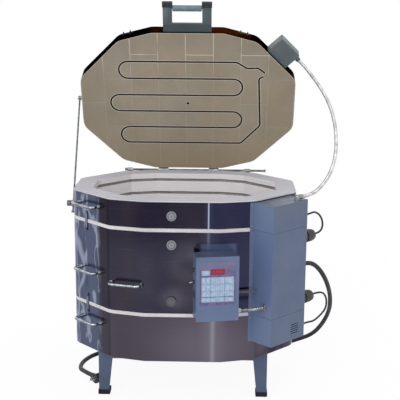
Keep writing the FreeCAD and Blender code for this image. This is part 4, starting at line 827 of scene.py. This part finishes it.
coil_z = LID_BASE + GROOVE_SINK + COIL_WIRE
lid_line = [opened((x, y, coil_z)) for x, y in groove_line]
lid_normal = (opened((0, 0, 1)) - opened((0, 0, 0))).normalized()
lid_coil = wound_wire("lid_coil", [coil_turns(lid_line, 0.0028, lid_normal, 3)], 0.0008)
lid_wire = fired_wire("lid_wire", (0.016, 0.014, 0.013), (0.035, 0.030, 0.028))
lid_coil.data.materials.append(lid_wire)
takes_over(lid_coil, "lid_element", "lid")


# Hinge and brace: plain bright rod, folded ears and knuckled leaves, and at the left end the rod, swivel,
# plate and fluted knob that prop the lid. Zinc-plated mild steel, greyed by heat.

brace_zinc = plated("brace_zinc", (0.07, 0.085, 0.088), (0.22, 0.245, 0.25), (0.32, 0.5))
dress(brace_zinc.done(brace_zinc.grain(50)), "brace_rod", "hinge_rod")
dress(zinc_plate, "hinge_ears", "lid_brackets", "brace_swivel", "brace_bracket")

knob_steel = plated("knob_steel", (0.075, 0.080, 0.072), (0.19, 0.20, 0.18), (0.3, 0.5))
knob_steel.lay((0.02, 0.025, 0.02), knob_steel.edges(0.002, 60), 0.6)
dress(knob_steel.done(knob_steel.grain(60)), "brace_knob")


# Lid handle: a folded and sprayed frame bolted to the band, a round grip, and two moulded end caps.
# The terminal box on the shoulder has the same grey-green paint.

handle_paint = sprayed("handle_paint", (0.026, 0.048, 0.058), (0.070, 0.100, 0.112))
# Painted highlight: a pale patch high on the frame's left upright.
handle_paint.lay((0.15, 0.175, 0.19), handle_paint.near((-0.095, 0, 1.545), (0.03, 100, 0.06)), 0.6)
handle_paint.lay((0.020, 0.036, 0.045), handle_paint.level(2, 1.492, 1.482), 0.7)
handle_paint.lay((0.010, 0.018, 0.024), handle_paint.edges(0.003, 30), 0.9)
dress(handle_paint.done(handle_paint.grain(24)), "lid_handle_frame")
lid_box_paint = sprayed("lid_box_paint", (0.072, 0.096, 0.108), (0.120, 0.145, 0.158))
lid_box_paint.lay((0.17, 0.20, 0.21), lid_box_paint.grain(30, 0.6, 0.75), 0.4)
dress(lid_box_paint.done(lid_box_paint.grain(24)), "lid_terminal_box")

cap_plastic = Finish("cap_plastic", 0.0, (0.35, 0.55), specular=0.5)
cap_plastic.start((0.085, 0.140, 0.165)).lay((0.15, 0.215, 0.235), cap_plastic.grain(30))
# Painted highlight along the grip's edges.
cap_plastic.lay((0.28, 0.34, 0.35), cap_plastic.edges(0.002, 60), 0.5)
cap_plastic.emboss(cap_plastic.grain(500), 0.00006)
dress(cap_plastic.done(cap_plastic.grain(40)), "lid_handle_grip")

end_caps = Finish("end_caps", 0.0, (0.35, 0.55), specular=0.4)
end_caps.start((0.006, 0.008, 0.010)).lay((0.022, 0.026, 0.030), end_caps.grain(60))
end_caps.emboss(end_caps.grain(500), 0.00006)
dress(end_caps.done(end_caps.grain(40)), "lid_handle_caps")


# Lifting handles and ring straps: bent chromed rod on pads that are screwed through the jacket, and two short
# plated steel straps that tie each ring to the next.

chrome = plated("chrome_rod", (0.30, 0.32, 0.36), (0.62, 0.65, 0.70), (0.08, 0.22))
# Painted reflection: a dark band round the rod, on the faces that look a little downwards.
painted_dark_band = chrome.both(chrome.facing(2, -0.75, -0.45), chrome.facing(2, 0.15, -0.10))
chrome.lay((0.025, 0.045, 0.050), painted_dark_band, 0.9)
# Painted highlight: the faces that look to the front, such as the pads, are laid pale teal.
pads = chrome.both(chrome.facing(1, -0.97, -0.995), chrome.grain(120, 0.3, 0.6))
chrome.lay((0.30, 0.40, 0.41), pads, 0.8)
# Painted reflection: the faces that look down are laid a teal grey.
chrome.lay((0.20, 0.26, 0.28), chrome.facing(2, -0.5, -0.9), 0.7)
chrome.lay((0.06, 0.08, 0.09), chrome.grain(110, 0.52, 0.66), 0.5)
chrome_rod = chrome.done(chrome.grain(60))
dress(chrome_rod, "front_handle", "end_handles", "toggle_lever")

strap_steel = plated("strap_steel", (0.12, 0.125, 0.175), (0.26, 0.27, 0.35), (0.25, 0.45))
strap_steel.lay((0.025, 0.03, 0.06), strap_steel.edges(0.002, 40), 0.7)
dress(strap_steel.done(strap_steel.grain(60)), "ring_straps")


# Electric boxes: one folded box to each ring, stacked on the right front corner, flanged and screwed to the
# jacket, sprayed blue-grey. Relays and sockets are black moulded plastic.

PAINT_DARK = (0.070, 0.102, 0.196)
PAINT_LIGHT = (0.094, 0.132, 0.236)

box_paint = sprayed("box_paint", PAINT_DARK, PAINT_LIGHT)
box_paint.lay((0.115, 0.125, 0.175), box_paint.level(2, 0.74, 0.84), 0.6)
box_paint.lay((0.16, 0.17, 0.20), box_paint.grain(22, 0.60, 0.80), 0.25)
# Painted light and shade: faces that look left are laid a lighter blue, faces that look right a darker one.
box_paint.lay((0.125, 0.178, 0.320), box_paint.facing(0, -0.4, -0.65), 0.7)
box_paint.lay((0.074, 0.098, 0.168), box_paint.facing(0, 0.4, 0.65), 0.45)
dress(box_paint.done(box_paint.grain(24)), "top_electric_box", "middle_electric_box", "bottom_electric_box")

black_plastic = Finish("black_plastic", 0.0, (0.35, 0.55), specular=0.5)
black_plastic.start((0.016, 0.016, 0.018)).lay((0.035, 0.035, 0.038), black_plastic.grain(50))
black_plastic.emboss(black_plastic.grain(900), 0.00003)
moulding = black_plastic.done(black_plastic.grain(60))
dress(moulding, "relays", "receptacles", "switch_housings", "rocker", "jumper_plugs")

mains_plug = Finish("mains_plug", 0.0, (0.3, 0.5))
blade_part = mains_plug.along((-0.7071, -0.7071, 0), 0.3441, 0.3445)
mains_plug.start((0.012, 0.012, 0.014)).lay((0.03, 0.03, 0.033), mains_plug.grain(50))
mains_plug.lay((0.75, 0.76, 0.74), blade_part)
mains_plug.emboss(mains_plug.grain(900), 0.00003)
mains_plug.tree.links.new(blade_part, mains_plug.shader.inputs["Metallic"])
dress(mains_plug.done(mains_plug.grain(60)), "main_plug")


# Cords: the mains cord from its gland down behind the kiln to the plug on the floor, and the two short cords
# that join the boxes. Black rubber-jacketed flex, from the boxes' right wall.

MAIN_CORD = 0.0186
MAIN_ROUTE = ((0.4737, -0.1729, 0.5542), (0.5002, -0.1456, 0.5542), (0.5338, -0.1225, 0.5382),
              (0.569, -0.098, 0.4922), (0.598, -0.046, 0.4262), (0.617, 0.014, 0.3522),
              (0.623, 0.088, 0.2702), (0.606, 0.17, 0.1822), (0.57, 0.246, 0.1022),
              (0.512, 0.312, 0.052), (0.43, 0.352, 0.0094),
              (0.31, 0.372, 0.0094), (0.17, 0.358, 0.0094), (0.03, 0.338, 0.0094), (-0.108, 0.316, 0.0094),
              (-0.23, 0.288, 0.0094), (-0.34, 0.254, 0.0094), (-0.416, 0.192, 0.0094), (-0.456, 0.11, 0.0094),
              (-0.46, 0.036, 0.0094), (-0.44, -0.024, 0.0203), (-0.392, -0.072, 0.0203))
JUMPER_CORD = 0.008
TOP_ROUTE = ((0.4823, -0.1812, 0.7602), (0.499, -0.164, 0.7602), (0.5185, -0.1439, 0.7642),
             (0.5394, -0.1224, 0.7522), (0.5554, -0.1059, 0.7272), (0.561, -0.1001, 0.6982),
             (0.5506, -0.1109, 0.6722), (0.5243, -0.138, 0.6722))
BOTTOM_ROUTE = ((0.5243, -0.138, 0.4182), (0.5506, -0.1109, 0.4182), (0.577, -0.0836, 0.4062),
                (0.5916, -0.0686, 0.3742), (0.5896, -0.0707, 0.3362), (0.5659, -0.0951, 0.3142),
                (0.5338, -0.1281, 0.2982), (0.506, -0.1568, 0.3042), (0.4823, -0.1812, 0.3042))


def flex(name, route, diameter):
    """A smooth round flex along its route."""
    line = bpy.data.curves.new(name, "CURVE")
    line.dimensions = "3D"
    line.resolution_u = 10
    line.bevel_depth = diameter / 2
    line.bevel_resolution = 4
    line.use_fill_caps = True
    spline = line.splines.new("NURBS")
    spline.points.add(len(route) - 1)
    for knot, spot in zip(spline.points, route):
        knot.co = (*spot, 1)
    spline.order_u = 3
    spline.use_endpoint_u = True
    return placed(name, line)


cord_rubber = Finish("cord_rubber", 0.0, (0.4, 0.6), specular=0.45)
cord_rubber.start((0.010, 0.009, 0.016)).lay((0.022, 0.021, 0.034), cord_rubber.grain(25))
cord_rubber.lay((0.07, 0.08, 0.12), cord_rubber.grain(70, 0.62, 0.8), 0.25)
cord_rubber.emboss(cord_rubber.grain(700), 0.00005)
flex_rubber = cord_rubber.done(cord_rubber.grain(40))
for node, name, route, size, length, end, along in (
        ("main_cord", "mains_flex", MAIN_ROUTE, MAIN_CORD, 2.048, "plug", [nodes["main_plug"]]),
        ("top_jumper_cord", "top_jumper_flex", TOP_ROUTE, JUMPER_CORD, 0.211, "plug",
         [nodes["jumper_plugs"]]),
        ("bottom_jumper_cord", "bottom_jumper_flex", BOTTOM_ROUTE, JUMPER_CORD, 0.311, "object", [])):
    cord = flex(name, route, size)
    cord.data.materials.append(flex_rubber)
    takes_over(cord, node, "kiln")


# Conduits: spiral-wound galvanised strip, from the lid's terminal box down to the top box, and a short bend
# of coarser strip from the controller to the middle box, each held by a lock-nut fitting.

CONDUIT = 0.015
LID_CONDUIT_ROUTE = ((0.4647, 0.1808, 1.3397), (0.4926, 0.1913, 1.3130), (0.53, 0.166, 1.2662),
                     (0.566, 0.134, 1.2162), (0.594, 0.092, 1.1602), (0.61, 0.046, 1.1002),
                     (0.614, -0.006, 1.0342),
                     (0.606, -0.06, 0.9722), (0.586, -0.106, 0.9222), (0.556, -0.145, 0.8822),
                     (0.5222, -0.1736, 0.8532), (0.4870, -0.2000, 0.8422), (0.4630, -0.2180, 0.8422))


def centre_line(name, route):
    """The smooth line of a route, as points."""
    line = flex(name, route, 0.0)
    mesh = bpy.data.meshes.new_from_object(line)
    points = [v.co.copy() for v in mesh.vertices]
    bpy.data.objects.remove(line)
    bpy.data.meshes.remove(mesh)
    return points


def wound_tube(name, line, diameter, pitch=0.0042, ridge=0.0011, sides=16):
    """A tube of overlapped strip: a grid rolled round the line, with a rounded ridge that winds along it."""
    step = pitch / 6
    path = even_steps(line, step)
    frames, side = [], None
    for k, spot in enumerate(path):
        along = (path[min(k + 1, len(path) - 1)] - path[max(k - 1, 0)]).normalized()
        if side is None:
            side = along.orthogonal().normalized()
        side = (side - along * side.dot(along)).normalized()
        frames.append((spot, side.copy(), along.cross(side)))
    bm = bmesh.new()
    bmesh.ops.create_grid(bm, x_segments=len(path) - 1, y_segments=sides, size=0.5)
    for vert in bm.verts:
        k = round((vert.co.x + 0.5) * (len(path) - 1))
        angle = 2 * math.pi * (vert.co.y + 0.5)
        spot, side, other = frames[k]
        wave = 0.5 + 0.5 * math.cos(2 * math.pi * k / 6 - angle)
        radius = diameter / 2 - ridge * (1 - wave ** 0.7)
        vert.co = spot + (side * math.cos(angle) + other * math.sin(angle)) * radius
    bmesh.ops.remove_doubles(bm, verts=bm.verts, dist=0.00002)
    bmesh.ops.holes_fill(bm, edges=[e for e in bm.edges if e.is_boundary], sides=0)
    bmesh.ops.recalc_face_normals(bm, faces=bm.faces)
    for face in bm.faces:
        face.smooth = True
    return finished(name, bm)


strip = plated("conduit_strip", (0.48, 0.485, 0.49), (0.74, 0.75, 0.76), (0.25, 0.45))
conduit_strip = strip.done(strip.grain(60))
conduit_line = centre_line("lid_conduit_line", LID_CONDUIT_ROUTE)
lid_hose = wound_tube("lid_hose", conduit_line, CONDUIT)
lid_hose.data.materials.append(conduit_strip)
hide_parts("lid_conduit")
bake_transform(lid_hose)
dress(zinc_plate, "cord_fittings")

CONTROL_CONDUIT_ROUTE = ((0.2285, -0.3722, 0.4252), (0.2560, -0.3669, 0.4252), (0.2930, -0.3588, 0.4252),
                         (0.3122, -0.3422, 0.4252))
ribbed = plated("ribbed_strip", (0.20, 0.205, 0.23), (0.42, 0.43, 0.46), (0.25, 0.45))
ribbed.lay((0.03, 0.03, 0.05), ribbed.grain(260, 0.45, 0.6), 0.5)
control_line = centre_line("controller_conduit_line", CONTROL_CONDUIT_ROUTE)
control_hose = wound_tube("controller_hose", control_line, CONDUIT, 0.0072, 0.0022)
control_hose.data.materials.append(ribbed.done(ribbed.grain(60)))
takes_over(control_hose, "controller_conduit", "kiln")


# Controller: a folded and sprayed box with a screwed front panel, set off from the jacket on brackets.
# A printed membrane with raised keys covers the panel, round a red display window.

CONTROL_SPOT = Vector((0.139, -0.412, 0.6472))
CONTROL_TURN = math.radians(11)
OVERLAY_OUT = 0.0008
KEY_RISE = 0.0005


def control_paint(name, dark, light, top):
    paint = sprayed(name, dark, light)
    # Faces that look up take the given colour: darker on the box, and lighter on the brackets as painted
    # light.
    paint.lay(top, paint.facing(2, 0.8, 0.98), 0.75)
    paint.lay((0.17, 0.19, 0.26), paint.grain(26, 0.58, 0.8), 0.2)
    return paint.done(paint.grain(24))


dress(control_paint("control_box_paint", (0.085, 0.115, 0.19), (0.115, 0.145, 0.225), (0.035, 0.045, 0.085)),
      "controller_box")
dress(control_paint("bracket_paint", (0.045, 0.042, 0.055), (0.075, 0.068, 0.080), (0.12, 0.11, 0.12)),
      "controller_brackets")
dress(control_paint("control_panel_paint", (0.088, 0.130, 0.240), (0.108, 0.155, 0.275), (0.09, 0.11, 0.19)),
      "controller_panel")

overlay = Finish("overlay_print", 0.0, (0.25, 0.4), specular=0.4)
overlay.start((0.095, 0.078, 0.205)).lay((0.15, 0.12, 0.24), overlay.grain(60, 0.4, 0.7))
overlay.lay((0.155, 0.165, 0.27), overlay.level(2, 0.575, 0.62), 0.7)
overlay.lay((0.30, 0.16, 0.27), overlay.grain(70, 0.50, 0.68), 0.4)
dress(overlay.done(overlay.grain(50)), "keypad_overlay")

lens = Finish("red_lens", 0.0, (0.08, 0.15), specular=0.5)
lens.start((0.20, 0.004, 0.030)).lay((0.26, 0.008, 0.045), lens.grain(120))
dress(lens.done(lens.grain(80)), "display_window")

board = Finish("circuit_board", 0.0, (0.3, 0.5))
board.start((0.01, 0.09, 0.03)).lay((0.02, 0.14, 0.05), board.grain(200))
dress(board.done(board.grain(60)), "controller_board")


def on_control(x, out, z):
    """A point on the controller: across, out from its front panel, and up from its top edge."""
    c, s = math.cos(CONTROL_TURN), math.sin(CONTROL_TURN)
    return CONTROL_SPOT + Vector((x * c + out * s, x * s - out * c, z))


def panel_tile(bm, x0, x1, z0, z1, out, rise, corner):
    """A low tile with rolled corners on the controller's face."""
    tile = bmesh.new()
    bmesh.ops.create_cube(tile, size=1)
    for vert in tile.verts:
        vert.co = Vector(((x0 + x1) / 2 + vert.co.x * (x1 - x0), (0.5 + vert.co.y) * rise,
                          (z0 + z1) / 2 + vert.co.z * (z1 - z0)))
    uprights = [e for e in tile.edges if abs(e.verts[0].co.y - e.verts[1].co.y) > rise / 2]
    bmesh.ops.bevel(tile, geom=uprights, affect="EDGES", offset=corner, segments=3, profile=0.5, material=-1)
    for vert in tile.verts:
        vert.co = on_control(vert.co.x, out + vert.co.y, vert.co.z)
    bmesh.ops.recalc_face_normals(tile, faces=tile.faces)
    piece = bpy.data.meshes.new("tile")
    tile.to_mesh(piece)
    tile.free()
    bm.from_mesh(piece)
    bpy.data.meshes.remove(piece)


def finish_tiles(bm, name, material):
    made = finished(name, bm)
    made.data.materials.append(material)
    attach(made, "kiln")
    return made


key_print = Finish("key_print", 0.0, (0.3, 0.45), specular=0.35)
key_print.start((0.29, 0.42, 0.56)).lay((0.40, 0.54, 0.68), key_print.grain(90, 0.35, 0.65))
key_print.lay((0.33, 0.36, 0.50), key_print.grain(300, 0.58, 0.7), 0.4)
pale_key = key_print.done(key_print.grain(60))

COLUMNS = ((-0.062, -0.029), (-0.0275, 0.0265), (0.028, 0.062))
ROWS = ((-0.0785, -0.1055), (-0.1065, -0.1335), (-0.1345, -0.1555), (-0.1585, -0.1765))
bm = bmesh.new()
for x0, x1 in COLUMNS:
    for z0, z1 in ROWS:
        panel_tile(bm, x0, x1, z1, z0, OVERLAY_OUT, KEY_RISE, 0.0015)
panel_tile(bm, -0.062, -0.031, -0.071, -0.052, OVERLAY_OUT, KEY_RISE, 0.0015)
finish_tiles(bm, "membrane_keys", pale_key)

rim_print = Finish("key_rim_print", 0.0, (0.35, 0.5), specular=0.3)
rim_print.start((0.16, 0.20, 0.33)).lay((0.24, 0.22, 0.36), rim_print.grain(150))
rim_ink = rim_print.done(rim_print.grain(60))
bm = bmesh.new()
RIM_LINE = 0.0009


def key_rim(bm, x0, x1, z0, z1, out):
    for a, b, c, d in ((x0, x1, z1 - RIM_LINE, z1), (x0, x1, z0, z0 + RIM_LINE),
                       (x0, x0 + RIM_LINE, z0, z1), (x1 - RIM_LINE, x1, z0, z1)):
        panel_tile(bm, a, b, c, d, out, 0.0002, 0.0003)


key_out = OVERLAY_OUT + KEY_RISE
for row, (z0, z1) in enumerate(ROWS):
    for left, wide in ((-0.0595, 0.0125), (-0.0445, 0.0125), (0.0315, 0.027)):
        key_rim(bm, left, left + wide, z1 + 0.0025, z0 - 0.0025, key_out)
    for column in range(3):
        left = -0.0255 + 0.0175 * column
        key_rim(bm, left, left + 0.0155, z1 + 0.0025, z0 - 0.0025, key_out)
key_rim(bm, -0.0595, -0.0335, -0.0685, -0.0545, key_out)
finish_tiles(bm, "key_rims", rim_ink)


def panel_text(words, x, z, height, out, name, material):
    """Numerals standing a hair above the face."""
    bits = []
    for word, (px, pz) in zip(words, zip(x, z)):
        text = bpy.data.curves.new(name, "FONT")
        text.body, text.size, text.extrude = word, height, 0.00006
        text.align_x, text.align_y = "CENTER", "CENTER"
        text.resolution_u = 2
        holder = bpy.data.objects.new(name, text)
        mesh = bpy.data.meshes.new_from_object(holder)
        bpy.data.objects.remove(holder)
        for vert in mesh.vertices:
            vert.co = on_control(px + vert.co.x, out + vert.co.z, pz + vert.co.y)
        bits.append(mesh)
    bm = bmesh.new()
    for mesh in bits:
        bm.from_mesh(mesh)
        bpy.data.meshes.remove(mesh)
    return finish_tiles(bm, name, material)


numerals = ["1", "2", "3", "4", "5", "6", "7", "8", "9", "0"]
xs = [-0.0255 + 0.0175 * (k % 3) + 0.00775 for k in range(9)] + [-0.0255 + 0.0175 + 0.00775]
zs = [sum(ROWS[k // 3]) / 2 for k in range(9)] + [sum(ROWS[3]) / 2]
panel_text(numerals, xs, zs, 0.011, key_out + 0.0001, "key_numerals", rim_ink)

led = Finish("led_glow", 0.0, (0.3, 0.4))
led.start((0.42, 0.008, 0.03)).lay((0.5, 0.02, 0.05), led.grain(200))
led.shader.inputs["Emission Color"].default_value = (1.0, 0.03, 0.06, 1)
led.shader.inputs["Emission Strength"].default_value = 0.06
DIGITS, DIGIT_APART = 4, 0.0107
panel_text(["8"] * DIGITS, [-0.016 + DIGIT_APART * k for k in range(DIGITS)], [-0.058] * DIGITS, 0.016,
           OVERLAY_OUT + 0.0001, "display_digits", led.done())


# Screws: plated pan heads that hold the boxes, the panel and the hinge leaves.

screw_zinc = plated("screw_zinc", (0.11, 0.14, 0.20), (0.24, 0.28, 0.36), (0.3, 0.45))
dress(screw_zinc.done(screw_zinc.grain(60)), "screws")
